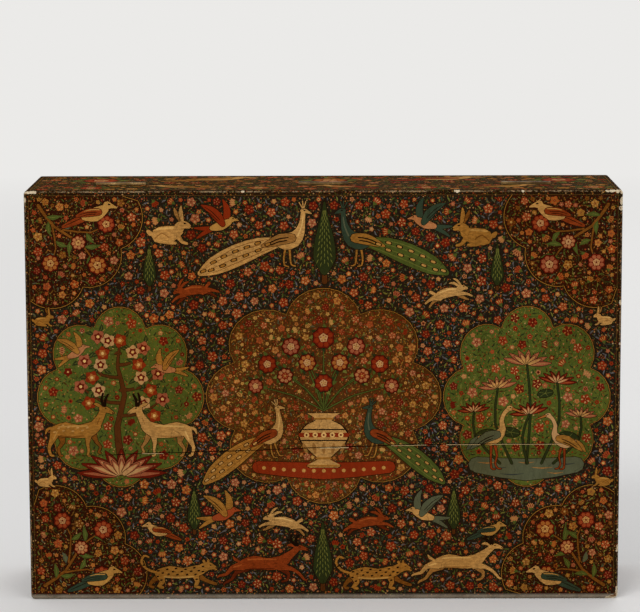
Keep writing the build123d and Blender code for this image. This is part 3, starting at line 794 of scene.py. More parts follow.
def paint_pool(panel, x):
    """Two cranes among tall lotuses that rise from a pool."""
    pool = Pen(panel, (x, 104))
    pool.figure([("water", [[(-38, 1, 6), (0, -3, 8.4), (38, 1, 6)]])], {"water": "slate"}, halo=1.5)
    for k, (dx, dy, half) in enumerate(RIPPLES):
        pool.draw([(dx - half, dy, 0.1), (dx, dy - 0.8, 0.45), (dx + half, dy, 0.1)], ("cream_shade", "blue")[k % 2])
    for dx, rise, size, lean in TALL_LOTUSES:
        stalk = [(dx * 0.5, 2, 0.8), (dx * 0.9 + lean, rise * 0.55, 0.7), (dx, rise, 0.55)]
        pool.figure([("stem", [stalk])], {"stem": "leaf_dark"}, line=0.35, halo=1)
        colours = (("crimson", "red_light", "blush"), ("pink", "salmon", "cream"))[rise // 4 % 2]
        lotus(pool.moved(dx, rise, -2 * lean), size, *colours, ranks=((7, 1.0, 74), (5, 0.74, 48)))
    for dx, dy, half, turn in PADS:
        pad = pool.moved(dx, dy, turn)
        pad.take(ring(half + 1, 14) * (1, 0.55))
        pad.fill(ring(half + 0.5, 16) * (1, 0.55), "ink")
        pad.fill(ring(half, 16) * (1, 0.52), "leaf_dark")
        for angle in range(5):
            tip = (half * 0.9 * math.cos(angle * 1.26), half * 0.46 * math.sin(angle * 1.26))
            pad.draw([(0, 0, 0.14), (*tip, 0.1)], "leaf_light", steps=1)
    crane(Pen(panel, (x - 27, 101), 0, 1.3), "cream", "slate")
    crane(Pen(panel, (x + 29, 101), 0, 1.15, -1), "blush", "ochre")


# x, y, turn, size and flip of the pen, then the animal, its coat and its spots
BEASTS = (
    (-109, 9, 0, 1.12, 1, LEOPARD, "ochre", LEOPARD_SPOTS), (-44, 9, 0, 1.2, 1, STAG_RUNNING, "roan", ()),
    (40, 8, 0, 1.12, 1, LEOPARD, "ochre", LEOPARD_SPOTS), (105, 10, 0, 1.2, 1, STAG_RUNNING, "cream", ()),
    (-114, 274, 0, 1.6, 1, HARE, "cream", ()), (112, 272, 0, 1.6, -1, HARE, "ochre", ()),
    (-33, 50, -6, 1.3, -1, HARE_RUNNING, "cream", ()), (36, 50, 5, 1.3, 1, HARE_RUNNING, "roan", ()),
    (-97, 229, 12, 1.25, -1, HARE_RUNNING, "roan", ()), (97, 227, 10, 1.25, 1, HARE_RUNNING, "cream", ()),
    (-211, 212, 0, 0.8, 1, HARE, "ochre", ()), (211, 212, 0, 0.8, -1, HARE, "cream", ()),
    (-211, 88, 0, 0.8, 1, HARE, "cream", ()), (211, 88, 0, 0.8, -1, HARE, "ochre", ()))
# x, y and flip of the pen, then the bird's body, its wing and whether it flies
FIELD_BIRDS = (
    (-78, 287, 1, "ochre_light", "red", True), (78, 288, -1, "salmon", "teal", True),
    (-78, 64, 1, "red_light", "ochre", True), (77, 64, -1, "cream", "slate", True),
    (-126, 52, -1, "cream", "roan", False), (126, 52, 1, "ochre_light", "teal", False))


def paint_field(panel):
    """Peafowl and a cypress above, a hunt of beasts below, hares, trees and birds between."""
    cypress(Pen(panel, (1, 246)), 60)
    cypress(Pen(panel, (-1, 8)), 52)
    peafowl(Pen(panel, (-31, 260), -3, 1.42, 1), "cream", "cream_shade", "cream", "ochre", "cream_light")
    peafowl(Pen(panel, (31, 260), 3, 1.42, -1), "teal", "ochre", "leaf", "ochre_light", "slate")
    for x, y, turn, size, flip, *beast in BEASTS:
        animal(Pen(panel, (x, y), turn, size, flip), *beast)
    for way in (-1, 1):
        cypress(Pen(panel, (way * 131, 240)), 34)
        cypress(Pen(panel, (way * 99, 52)), 36)
    for x, y, flip, *colours in FIELD_BIRDS:
        bird(Pen(panel, (x, y), 0, 1.8, flip), *colours)


SPRAY_STEMS = [[(0, 0, 1.3), (-3, 20, 1), (2, 42, 0.8), (-1, 60, 0.4)],
               [(-2, 16, 0.8), (-14, 32, 0.6), (-24, 36, 0.35)], [(0, 26, 0.7), (13, 42, 0.6), (24, 45, 0.35)]]
# x, y, angle to the branch and length
SPRAY_LEAVES = ((-2, 10, -48, 12), (-3, 14, 40, 11), (1, 24, -62, 9), (0, 36, 58, 13), (2, 46, -50, 13),
                (-10, 28, -20, 10), (11, 40, 10, 10), (-18, 34, 100, 9), (0, 54, 40, 11), (0, 56, -42, 11))


def spray(panel, sx, sy, rim, heart, rng):
    """A branch that springs from a corner, with roses, long leaves and a bird beside it."""
    corner = np.array((sx * 225, 157.5 + sy * 157.5))
    turn = sx * (45 if sy < 0 else 135)
    pen = Pen(panel, corner - (sx * 11, sy * 11), turn, 1, sx)
    pen.figure([("stem", SPRAY_STEMS)], {"stem": "ochre_shade"}, halo=1)
    for x, y, angle, length in SPRAY_LEAVES:
        sprig = pen.moved(x, y, turn + angle * sx)
        leaf(sprig, length, 4, "leaf" if length > 9 else "slate", vein="leaf_light")
        panel.take(ring(length * 0.42, 10, centre=sprig.spot(0, length / 2)))
    for x, y, radius, colour in ((-25, 37, 6.4, rim), (26, 46, 6.4, "red_light"), (-1, 63, 7, rim),
                                 (1, 41, 5.4, "salmon")):
        pen.take(ring(radius + 1, 14, centre=(x, y)))
        rose(pen.moved(x, y, rng.uniform(0, 50)), radius, colour, heart, "crimson")
    perch = Pen(panel, corner - (sx * 52, sy * (14 if sy < 0 else 20)), 0, 2.5, -sx)
    bird(perch, "cream" if sx > 0 else "ochre_light", "roan" if sy > 0 else "teal")


# ---------------------------------------------------------------- materials

class Graph:
    """Shader nodes under construction in one tree."""

    def __init__(self, tree):
        self.tree = tree

    def feed(self, socket, value):
        """Links an input to another node's output, or sets it."""
        if isinstance(value, bpy.types.NodeSocket):
            self.tree.links.new(value, socket)
        elif value is not None:
            socket.default_value = value

    def node(self, kind, inputs=(), **settings):
        made = self.tree.nodes.new("ShaderNode" + kind)
        for key, value in settings.items():
            setattr(made, key, value)
        for key, value in inputs.items() if isinstance(inputs, dict) else enumerate(inputs):
            self.feed(made.inputs[key], value)
        return made

    def sum(self, operation, a, b=None):
        return self.node("Math", (a, b), operation=operation).outputs[0]

    def plus(self, a, b):
        return self.sum("ADD", a, b)

    def times(self, a, b):
        return self.sum("MULTIPLY", a, b)

    def seen(self):
        """1 for what the lens, a gloss or a glass looks at, 0 for the light that falls on things."""
        path = self.node("LightPath").outputs
        total = path["Is Camera Ray"]
        for name in ("Is Glossy Ray", "Is Transmission Ray"):
            total = self.sum("MAXIMUM", total, path[name])
        return total


class Finish(Graph):
    """A node material under construction; every pattern is set out in the object's own space, in mm."""

    def __init__(self, name):
        self.material = bpy.data.materials.new(name)
        self.material.use_nodes = True
        super().__init__(self.material.node_tree)
        self.shader = self.tree.nodes["Principled BSDF"]
        self.place = self.stretched((1 / MM,) * 3, self.node("TexCoord").outputs["Object"])

    def stretched(self, factors, place=None):
        return self.node("VectorMath", (place or self.place, factors), operation="MULTIPLY").outputs[0]

    def noise(self, size, detail=3.0, rough=0.55, place=None, out="Fac", distort=0.0):
        inputs = {"Vector": place or self.place, "Scale": 1 / size, "Detail": detail, "Roughness": rough,
                  "Distortion": distort}
        return self.node("TexNoise", inputs).outputs[out]

    def cells(self, size, feature="F1", place=None):
        return self.node("TexVoronoi", {"Vector": place or self.place, "Scale": 1 / size}, feature=feature).outputs

    def split(self, colour):
        return self.node("SeparateColor", (colour,)).outputs

    def span(self, value, low, high, to_low=0.0, to_high=1.0):
        return self.node("MapRange", (value, low, high, to_low, to_high), clamp=True).outputs[0]

    def between(self, share, a, b):
        """A number between two others."""
        return self.node("Mix", (share, None, a, b), data_type="FLOAT").outputs[0]

    def mix(self, share, a, b, blend="MIX"):
        """A colour between two others."""
        return self.node("Mix", {0: share, 6: a, 7: b}, data_type="RGBA", blend_type=blend).outputs[2]

    def over(self, below, where, strength, colour):
        """A colour laid over another where a mask says, at most as strongly as given."""
        return self.mix(self.times(where, strength), below, colour)

    def ramp(self, value, stops, interpolation="LINEAR"):
        made = self.node("ValToRGB", (value,))
        made.color_ramp.interpolation = interpolation
        while len(made.color_ramp.elements) < len(stops):
            made.color_ramp.elements.new(0.5)
        for element, (at, colour) in zip(made.color_ramp.elements, stops):
            element.position, element.color = at, colour
        return made.outputs[0]

    def bump(self, height, strength, distance, below=None):
        inputs = {"Height": height, "Strength": strength, "Distance": distance * MM, "Normal": below}
        return self.node("Bump", inputs).outputs[0]

    def finished(self, **values):
        """The material, with the shader's inputs set."""
        for key, value in values.items():
            self.feed(self.shader.inputs[key.replace("_", " ")], value)
        return self.material


def tone(red, green, blue):
    """An sRGB colour, 0 to 255, as linear light."""
    return tuple(c / 3294.6 if c < 10.3 else ((c / 255 + 0.055) / 1.055) ** 2.4 for c in (red, green, blue)) + (1,)


def edge_nearness(f):
    """1 along the middle of the rounding of the box's outer edges, 0 beside it."""
    x, y, z = f.node("SeparateXYZ", (f.place,)).outputs
    half, depth, middle = LID_HIGH[X], BASE_HIGH[Y], LID_HIGH[Z] / 2

    def inward(limit, value):
        return f.sum("SUBTRACT", limit, f.sum("ABSOLUTE", value))

    in_x, in_y, in_z = inward(half, x), inward(depth, y), inward(middle, f.sum("SUBTRACT", z, middle))
    nearest = f.sum("MINIMUM", f.plus(in_x, in_y), f.plus(in_y, in_z))
    return f.span(f.sum("MINIMUM", nearest, f.plus(in_x, in_z)), 1.8, 1.96, 1, 0)


# size of a layer's cells and its flattening, the dots' radius, how many show elsewhere and on gold, and their colours
STIPPLE = (
    (1.75, (1, 1, 1), 0.36, 0.35, 0.92,
     ((0, "crimson"), (0.2, "red_light"), (0.36, "ochre"), (0.5, "leaf"), (0.62, "orange"), (0.74, "ink"),
      (0.88, "blush"))),
    (1.3, (1.25, 1.25, 0.8), 0.30, 0.42, 0.8,
     ((0, "leaf"), (0.25, "teal"), (0.45, "bronze"), (0.6, "leaf_light"), (0.76, "red"), (0.9, "ochre_light"))))


def lacquer():
    """Water colours on gesso under amber varnish: fine stipple on the grounds, crazing and rubbed edges."""
    f = Finish("painted_lacquer")
    paint = f.node("Attribute", attribute_name="paint", attribute_type="GEOMETRY").outputs
    kind = f.times(paint["Alpha"], 10.0)
    colour = paint["Color"]

    # stipple that only the grounds show
    coat = f.span(kind, 5.4, 5.6)
    ground = f.sum("SUBTRACT", f.span(kind, 0.4, 0.6), coat)
    gold = f.times(f.span(kind, 1.4, 1.6), f.span(kind, 2.4, 2.6, 1, 0))
    for size, flat, radius, elsewhere, on_gold, stops in STIPPLE:
        dots = f.cells(size, place=f.stretched(flat))
        chance = f.split(dots["Color"])
        shown = f.sum("LESS_THAN", chance[1], f.between(gold, elsewhere, on_gold))
        round_dot = f.span(dots["Distance"], radius - 0.08, radius, 1, 0)
        shade = f.ramp(chance[0], [(at, tone(*COLOURS[name])) for at, name in stops], "CONSTANT")
        colour = f.over(colour, f.times(f.times(round_dot, shown), ground), 0.85, shade)

    # the brush and the age of the paint
    broad = f.noise(45, 3)
    brush = f.noise(2.4, 4, 0.65, f.stretched((1, 1, 0.35)))
    fine = f.noise(0.7, 2)
    value = f.times(f.span(broad, 0.3, 0.7, 0.8, 1.08), f.span(brush, 0.25, 0.75, 0.84, 1.16))
    value = f.times(value, f.span(fine, 0.3, 0.7, 0.93, 1.07))
    fur = f.span(f.noise(0.9, 2, 0.6, f.stretched((0.26, 1, 1)), distort=0.5), 0.36, 0.62, 0.7, 1.12)
    value = f.times(value, f.between(coat, 1.0, fur))
    colour = f.mix(1.0, colour, f.node("CombineColor", (value,) * 3).outputs[0], "MULTIPLY")

    # amber varnish, thicker in places
    pool = f.noise(70, 4, 0.6)
    amber = f.ramp(pool, [(0.35, tone(252, 243, 222)), (0.65, tone(246, 227, 190))])
    colour = f.mix(1.0, colour, amber, "MULTIPLY")
    colour = f.mix(f.span(pool, 0.3, 0.7, 0.0, 0.06), colour, tone(84, 46, 6))

    # crazing: fine cracks with dirt in them
    wander = f.stretched((5, 5, 5), f.noise(9, 3, out="Color"))
    warped = f.node("VectorMath", (f.place, wander), operation="ADD").outputs[0]
    crack = f.cells(11, "DISTANCE_TO_EDGE", f.stretched((1.6, 1.6, 0.62), warped))["Distance"]
    craze = f.times(f.span(crack, 0.004, 0.02, 1, 0), f.span(f.noise(30, 2), 0.42, 0.6))
    colour = f.over(colour, craze, 0.45, tone(24, 12, 5))

    # rubbed edges, a grey band along the bottom that is partly rubbed wear and partly painted reflection of the
    # floor, and flakes lost here and there
    patchy = f.plus(f.noise(2.2, 5, 0.75), f.times(f.noise(26, 3), 0.6))
    rubbed = f.times(edge_nearness(f), f.span(patchy, 0.77, 0.9))
    colour = f.over(colour, rubbed, 0.66, tone(158, 134, 100))
    rise = f.node("SeparateXYZ", (f.place,)).outputs["Z"]
    # painted reflection and wear: the lowest 2.6 to 4.6 mm turn grey, partly standing for the floor's light on the
    # lower rounding
    foot = f.times(f.span(rise, 2.6, 4.6, 1, 0), f.span(f.noise(14, 4, 0.7), 0.25, 0.55, 0.4, 0.85))
    colour = f.mix(foot, colour, tone(134, 122, 106))
    specks = f.cells(9)
    ragged = f.plus(specks["Distance"], f.times(f.noise(3.2, 5, 0.7), 0.1))
    fleck = f.times(f.span(ragged, 0.1, 0.115, 1, 0), f.sum("LESS_THAN", f.split(specks["Color"])[2], 0.06))
    colour = f.over(colour, fleck, 0.8, tone(164, 136, 98))

    rough = f.span(f.plus(f.times(brush, 0.5), f.times(broad, 0.5)), 0.3, 0.7, 0.46, 0.6)
    rough = f.sum("MAXIMUM", rough, f.times(f.sum("MAXIMUM", rubbed, fleck), 0.8))
    relief = f.bump(f.plus(f.times(brush, 0.6), f.times(fine, 0.25)), 0.35, 0.10)
    relief = f.bump(f.plus(f.span(crack, 0.004, 0.03), f.times(fleck, -0.8)), 0.5, 0.08, relief)
    return f.finished(Base_Color=colour, Roughness=rough, Normal=relief, Specular_IOR_Level=0.0005)


def gesso():
    """The chalk ground where the paint has broken away."""
    f = Finish("bare_gesso")
    grain = f.noise(1.1, 6, 0.7)
    colour = f.ramp(grain, [(0.3, tone(168, 146, 112)), (0.6, tone(206, 190, 160)), (0.8, tone(222, 210, 186))])
    colour = f.mix(f.span(f.noise(4, 4), 0.5, 0.75, 0, 0.6), colour, tone(120, 88, 56))
    return f.finished(Base_Color=colour, Roughness=f.span(grain, 0.3, 0.7, 0.75, 0.92),
                      Normal=f.bump(grain, 0.6, 0.3), Specular_IOR_Level=0.3)


def dark_lacquer():
    """Plain brown-black varnish on the back: brushed, scuffed and scratched."""
    f = Finish("plain_lacquer")
    brush = f.noise(3, 4, 0.6, f.stretched((0.18, 1, 1)))
    colour = f.ramp(f.plus(f.times(f.noise(60, 4, 0.6), 0.6), f.times(brush, 0.4)),
                    [(0.3, tone(26, 16, 9)), (0.5, tone(42, 26, 13)), (0.72, tone(58, 36, 18))])
    rubbed = f.times(edge_nearness(f), f.span(f.noise(3.4, 5, 0.7), 0.46, 0.66))
    colour = f.over(colour, rubbed, 0.8, tone(118, 84, 50))
    scuffs = f.noise(1.2, 5, 0.75, f.stretched((0.06, 1, 0.5)))
    colour = f.mix(f.span(scuffs, 0.62, 0.74, 0, 0.4), colour, tone(104, 76, 48))
    return f.finished(Base_Color=colour, Roughness=f.span(brush, 0.3, 0.7, 0.36, 0.55),
                      Normal=f.bump(f.plus(brush, f.times(scuffs, 0.6)), 0.35, 0.12), Specular_IOR_Level=0.04)


def timber(name, tones, along, size=1.0, gloss=0.55):
    """Plain-sawn wood in three tones: rings drawn out along one axis, fine pores and handling dirt."""
    f = Finish(name)

    def lengthwise(share):
        return f.stretched([share if k == along else 1 for k in range(3)])

    dark, mid, pale = [tone(*each) for each in tones]
    rings = f.noise(7 * size, 4, 0.6, lengthwise(0.06), distort=0.6)
    pores = f.noise(0.55 * size, 3, 0.7, lengthwise(0.05))
    colour = f.ramp(rings, [(0.3, dark), (0.5, mid), (0.72, pale)])
    colour = f.mix(f.span(pores, 0.55, 0.75, 0, 0.45), colour, dark)
    colour = f.mix(f.span(f.noise(24, 3), 0.5, 0.75, 0, 0.4), colour, dark)
    return f.finished(Base_Color=colour, Roughness=f.span(rings, 0.3, 0.7, gloss, gloss + 0.15),
                      Normal=f.bump(f.plus(rings, f.times(pores, 0.7)), 0.4, 0.15), Specular_IOR_Level=0.2)


def lining():
    """Madder-red lining paper: laid fibres, fading, and foxed spots."""
    f = Finish("lining_paper")
    fibre = f.noise(0.9, 5, 0.75, f.stretched((0.3, 1, 1)))
    colour = f.ramp(f.plus(f.times(f.noise(55, 4, 0.6), 0.65), f.times(fibre, 0.35)),
                    [(0.3, tone(84, 20, 14)), (0.5, tone(112, 32, 20)), (0.72, tone(138, 52, 30))])
    fox = f.times(f.span(f.cells(16)["Distance"], 0.05, 0.16, 1, 0), f.span(f.noise(20, 2), 0.5, 0.6))
    colour = f.over(colour, fox, 0.5, tone(66, 30, 16))
    return f.finished(Base_Color=colour, Roughness=f.span(fibre, 0.3, 0.7, 0.82, 0.95),
                      Normal=f.bump(fibre, 0.4, 0.1), Specular_IOR_Level=0.2)


def brass():
    """Old hinge brass: dull and brown, pale where it is rubbed, with dark spots."""
    f = Finish("aged_brass")
    tarnish = f.noise(12, 5, 0.6)
    marks = f.noise(0.7, 3, 0.6, f.stretched((0.25, 1, 1)))
    colour = f.ramp(tarnish, [(0.34, tone(64, 48, 28)), (0.5, tone(96, 74, 44)), (0.66, tone(140, 114, 74))])
    colour = f.mix(f.span(f.noise(1.6, 4, 0.7), 0.56, 0.66, 0, 0.6), colour, tone(58, 42, 26))
    return f.finished(Base_Color=colour, Metallic=1.0, Roughness=f.span(tarnish, 0.3, 0.7, 0.55, 0.4),
                      Normal=f.bump(marks, 0.25, 0.05))


LACQUER, GESSO, PLAIN = lacquer(), gesso(), dark_lacquer()


# ---------------------------------------------------------------- the sides

STRIP_INSET = 1.6       # the gold line on a side, from the end of its flat part
STRIP_WIDTH = 41        # the strip on which birds and roses have their own size
BIRD_SIZES = (2.9, 2.2)         # on a strip that runs across and on one that runs up
MOTIF_PITCH = 62        # from a bird to the next large rose
LINE_STEP = 6           # how often a hand-drawn line changes its width


def edge_line(panel, inset, colour, half=0.16):
    """A hand-drawn line round a panel, broken wherever the panel's face is damaged."""
    a, b = panel.low + inset, panel.high - inset
    corners = [a, np.array((b[0], a[1])), b, np.array((a[0], b[1])), a]
    for start, end in zip(corners, corners[1:]):
        count = max(int(np.linalg.norm(end - start) / LINE_STEP), 1)
        run = []
        for place in [start + (end - start) * k / count for k in range(count + 1)] + [None]:
            if place is not None and not panel.damaged[panel.at(place)]:
                run.append((*place, half * panel.rng.uniform(0.8, 1.2)))
                continue
            if len(run) > 1:
                panel.paint(stroke(run, steps=1), colour)
            run = []


def margins(panel, low, high):
    """Keeps blossoms off the room outside two corners of a panel."""
    for axis, count in enumerate(panel.taken.shape):
        places = panel.low[axis] + np.arange(count) * CELL
        outside = (places < low[axis]) | (places > high[axis])
        panel.taken |= outside if axis else outside[:, None]


def paint_strip(panel, rng):
    """A flowered strip inside a gold line, with birds among larger blossoms."""
    width, height = panel.high - panel.low
    edge_line(panel, STRIP_INSET, "gold")
    margins(panel, panel.low + STRIP_INSET + 1, panel.high - STRIP_INSET - 1)
    long_axis = 0 if width > height else 1
    middle = (panel.low + panel.high) / 2
    span = (panel.high - panel.low)[long_axis]
    bold = min(width, height) / STRIP_WIDTH
    count = int(span / (MOTIF_PITCH * bold**0.5))
    shift = rng.uniform(-16, 16)
    for k in range(count):
        at = middle.copy()
        at[long_axis] += (k - (count - 1) / 2) * span / count + shift
        at[1 - long_axis] += (3 if k % 2 else -4)
        if k % 2:
            pen = Pen(panel, at, 0, BIRD_SIZES[long_axis] * bold, rng.choice((1, -1)))
            bird(pen, "cream", ("ochre", "red")[k % 4 // 2])
        else:
            panel.take(ring(12 * bold, 16, centre=at))
            for spoke in range(8):
                leaf(Pen(panel, at, spoke * 45 + 10, bold), 16, 7, ("leaf_light", "leaf")[spoke % 2], "leaf_dark")
            rose(Pen(panel, at, 30 * k), 9 * bold, ("red_light", "orange")[k % 4 // 2], "blush", "crimson")
    strew(panel, 0, SIDE_STRIP, rng)


# ---------------------------------------------------------------- from outlines to meshes

# what the lacquer does to a colour: 1 field, 2 gold ground and border, 3 green, 4 maroon, 5 sides, 6 an animal's coat
KINDS = {"field": 1, "border": 2, "gold_ground": 2, "green": 3, "maroon": 4, "olive_field": 5}
KINDS.update({coat + shade: 6 for coat in ("cream", "ochre", "roan") for shade in ("", "_shade")})
JOIN = 2e-6             # the distance, in metres, at which cut corners are one
FLAT = 0.004            # how far, in mm, the corners of a flat face may lie from its level
DAMAGE_REACH, CHIP_REACH = 0.75, 1.2    # what a line and a blossom keep clear of a chip
CHUNK = 20000


def linear(name):
    """A named colour as linear light; its fourth number says what the lacquer does to it."""
    return [*tone(*COLOURS[name])[:3], KINDS.get(name, 0) / 10]


def joined(mesh, distance):
    """A bmesh whose corners that lie together are one."""
    bm = bmesh.new()
    bm.from_mesh(mesh)
    bmesh.ops.remove_doubles(bm, verts=bm.verts[:], dist=distance)
    return bm


def linked(name, mesh):
    piece = bpy.data.objects.new(name, mesh)
    bpy.context.scene.collection.objects.link(piece)
    return piece


def chip_cutter(place, axes, rng):
    """A rough lump that breaks a flake out of an edge: its middle and half sizes are in mm."""
    waves = [(Vector([rng.uniform(-1, 1) for _ in range(3)]).normalized() * rng.uniform(3, 9), rng.uniform(0, TURN))
             for _ in range(9)]
    bm = bmesh.new()
    bmesh.ops.create_icosphere(bm, subdivisions=3, radius=1)
    for v in bm.verts:
        rough = sum(math.sin(wave.dot(v.co) + phase) for wave, phase in waves) / len(waves)
        v.co = v.co * (1 + 0.22 * rough)
        v.co = Vector([(p + a * c) * MM for p, a, c in zip(place, axes, v.co)])
    lump = bpy.data.meshes.new("lump")
    bm.to_mesh(lump)
    return lump


def chipped(node, spots, rng):
    """The shell of a CAD skin with flakes broken out; the broken faces take the second material."""
    whole, knife = bpy.data.meshes.new("whole"), bpy.data.meshes.new("knife")
    joined(nodes[node].data, JOIN / 2).to_mesh(whole)
    lumps = bmesh.new()
    for spot in spots:
        lump = chip_cutter(*spot, rng)
        lumps.from_mesh(lump)
        bpy.data.meshes.remove(lump)
    for face in lumps.faces:
        face.material_index = 1
    lumps.to_mesh(knife)
    for mesh in (whole, knife):
        mesh.materials.append(LACQUER)
        mesh.materials.append(GESSO)
    body, blade = linked("whole", whole), linked("knife", knife)
    cut = body.modifiers.new("chips", "BOOLEAN")
    cut.operation, cut.solver, cut.object, cut.use_self = "DIFFERENCE", "EXACT", blade, True
    result = bpy.data.meshes.new_from_object(body.evaluated_get(bpy.context.evaluated_depsgraph_get()))
    out = joined(result, JOIN)
    for thing in (body, blade):
        bpy.data.objects.remove(thing)
    for mesh in (whole, knife, result):
        bpy.data.meshes.remove(mesh)
    bmesh.ops.triangulate(out, faces=out.faces[:])
    return Shell(out)


def edges_of(faces):
    """The three sides of each triangle, each as a rising pair of corners."""
    return np.sort(np.vstack([faces[:, (0, 1)], faces[:, (1, 2)], faces[:, (2, 0)]]), axis=1)


def within(places, edges, spots):
    """Which spots lie inside the loops that the edges make, found a chunk at a time to save memory."""
    a, b = places[edges[:, 0]], places[edges[:, 1]]
    result = []
    for start in range(0, len(spots), CHUNK):
        px, py = spots[start:start + CHUNK, :1], spots[start:start + CHUNK, 1:]
        straddle = (a[:, 1] <= py) != (b[:, 1] <= py)
        slope = (b[:, 0] - a[:, 0]) / np.where(b[:, 1] == a[:, 1], 1, b[:, 1] - a[:, 1])
        result.append(((px < a[:, 0] + (py - a[:, 1]) * slope) & straddle).sum(1) % 2 == 1)
    return np.concatenate(result)


def painted(panel, middles):
    """The colour of the topmost mark over each spot of a panel."""
    colours = np.tile(linear(panel.ground), (len(middles), 1))
    order = np.argsort(middles[:, 0])
    along = middles[order]
    for outline, colour in panel.marks:
        (left, low), (right, high) = outline.min(0), outline.max(0)
        first, last = np.searchsorted(along[:, 0], (left, right))
        near_by = along[first:last]
        picked = np.flatnonzero((near_by[:, 1] >= low) & (near_by[:, 1] <= high))
        if len(picked):
            hit = picked[inside(outline, near_by[picked])]
            colours[order[first + hit]] = linear(colour)
    return colours


class Shell:
    """A skin's corners and triangles, some of whose flat faces are cut up again along painted outlines."""

    def __init__(self, bm):
        bm.verts.index_update()
        self.places = np.array([v.co[:] for v in bm.verts]) / MM
        self.faces = np.array([[v.index for v in f.verts] for f in bm.faces])
        self.kinds = np.array([f.material_index for f in bm.faces])
        self.colours = np.tile(linear("border"), (len(self.faces), 1))

    def drop(self, which):
        self.faces, self.kinds, self.colours = self.faces[~which], self.kinds[~which], self.colours[~which]

    def repaint(self, axis, level, painter, ground, rng, flip=False):
        """Replaces the flat face at a level of an axis by triangles that follow the painter's outlines."""
        which = (np.abs(self.places[self.faces][:, :, axis] - level) < FLAT).all(1)
        used = self.faces[which]
        self.drop(which)
        pairs, counts = np.unique(edges_of(used), axis=0, return_counts=True)
        others = set(map(tuple, edges_of(self.faces).tolist()))
        rim = np.array([pair for pair in pairs[counts == 1] if tuple(pair.tolist()) in others])
        corners = np.unique(rim)
        across = [k for k in range(3) if k != axis]
        flat_places = self.places[corners][:, across]
        edges = np.searchsorted(corners, rim)
        panel = Panel(flat_places.min(0), flat_places.max(0), ground)
        panel.rng = rng
        grid = grid_of(*[np.arange(n) for n in panel.zone.shape])
        kept = within(flat_places, edges, grid * CELL + panel.low).reshape(panel.zone.shape)
        panel.damaged, panel.taken = near(~kept, DAMAGE_REACH), near(~kept, CHIP_REACH)
        painter(panel, rng)
        self.fill(axis, level, flat_places, corners, edges, panel, flip)

    def fill(self, axis, level, flat_places, corners, edges, panel, flip):
        """Triangulates the face through every outline and gives each triangle its top colour."""
        points, lines = [flat_places], [edges]
        total = len(flat_places)
        for outline, _ in panel.marks:
            index = np.arange(len(outline)) + total
            points.append(outline)
            lines.append(np.stack([index, np.roll(index, -1)], 1))
            total += len(outline)
        points, lines = np.vstack(points), np.vstack(lines)
        found = delaunay_2d_cdt([Vector(p) for p in points], lines.tolist(), [], 0, 1e-5, True)
        places, faces, origins = np.array([v[:] for v in found[0]]), np.array(found[2]), found[3]
        middles = places[faces].mean(1)
        kept = within(flat_places, edges, middles)
        owner = np.full(len(places), -1)
        for k, ids in enumerate(origins):
            if ids and min(ids) < len(corners):
                owner[k] = corners[min(ids)]
        fresh = np.flatnonzero(owner < 0)
        owner[fresh] = len(self.places) + np.arange(len(fresh))
        self.places = np.vstack([self.places, np.insert(places[fresh], axis, level, axis=1)])
        faces = owner[faces[kept]]
        if flip:
            faces = faces[:, ::-1]
        self.faces = np.vstack([self.faces, faces])
        self.kinds = np.concatenate([self.kinds, np.zeros(len(faces), int)])
        self.colours = np.vstack([self.colours, painted(panel, middles[kept])])


# ---------------------------------------------------------------- the two skins

ROUND_SLACK = 0.03      # how far, in mm, a spot of a rounding may lie from its true surface


def round_normals(low, high, places):
    """Which spots lie on the roundings of the box between two corners, and which way those face."""
    away = places - np.clip(places, low + ARRIS, high - ARRIS)
    reach = np.linalg.norm(away, axis=-1, keepdims=True)
    return np.abs(reach[..., 0] - ARRIS) < ROUND_SLACK, away / np.maximum(reach, 1e-9)


def rooms(face, rows):
    """Where each side of a skin lies on its picture, from the way that its closed face looks.

    A side is (axis, way, whether it is an outer one), and a room is (left, right, bottom, top).
    """
    wide, narrow, beside = (0.002, 0.998), (0.002, 0.7), (0.71, 0.998)
    first, second, sliver = (0.002, 0.34), (0.345, 0.7), (0.702, 0.708)
    sides = (((Y, face, True), wide), ((Z, 1, True), wide), ((X, 1, True), narrow), ((X, -1, True), narrow),
             ((Z, -1, True), narrow), ((X, 1, False), first), ((Z, 1, False), first))
    found = {side: (*columns, *row) for (side, columns), row in zip(sides, rows)}
    for axis in (X, Z):
        found[axis, -1, False] = (*second, *found[axis, 1, False][2:])
    found[Y, -face, False] = (*beside, rows[2][0], rows[3][1])
    found[Y, -face, True] = (*beside, rows[4][0], rows[6][1])
    found[Y, face, False] = (*sliver, rows[5][0], rows[6][1])
    return found


def picture_spots(corners, normals, low, high, found):
    """A spot on the picture for each corner of each triangle."""
    each = np.arange(len(normals))
    axis = np.abs(normals).argmax(1)
    way = np.sign(normals[each, axis]).astype(int)
    level = np.where(way > 0, high[axis], low[axis])
    outer = np.abs(corners.mean(1)[each, axis] - level) < ARRIS
    spots = np.zeros((len(corners), 3, 2))
    for (a, w, o), (left, right, bottom, top) in found.items():
        hit = (axis == a) & (way == w) & (outer == o)
        across = [Z, Y] if a == X else [k for k in range(3) if k != a]
        share = (corners[hit][:, :, across] - low[across]) / (high - low)[across]
        spots[hit] = share * (right - left, top - bottom) + (left, bottom)
    return spots


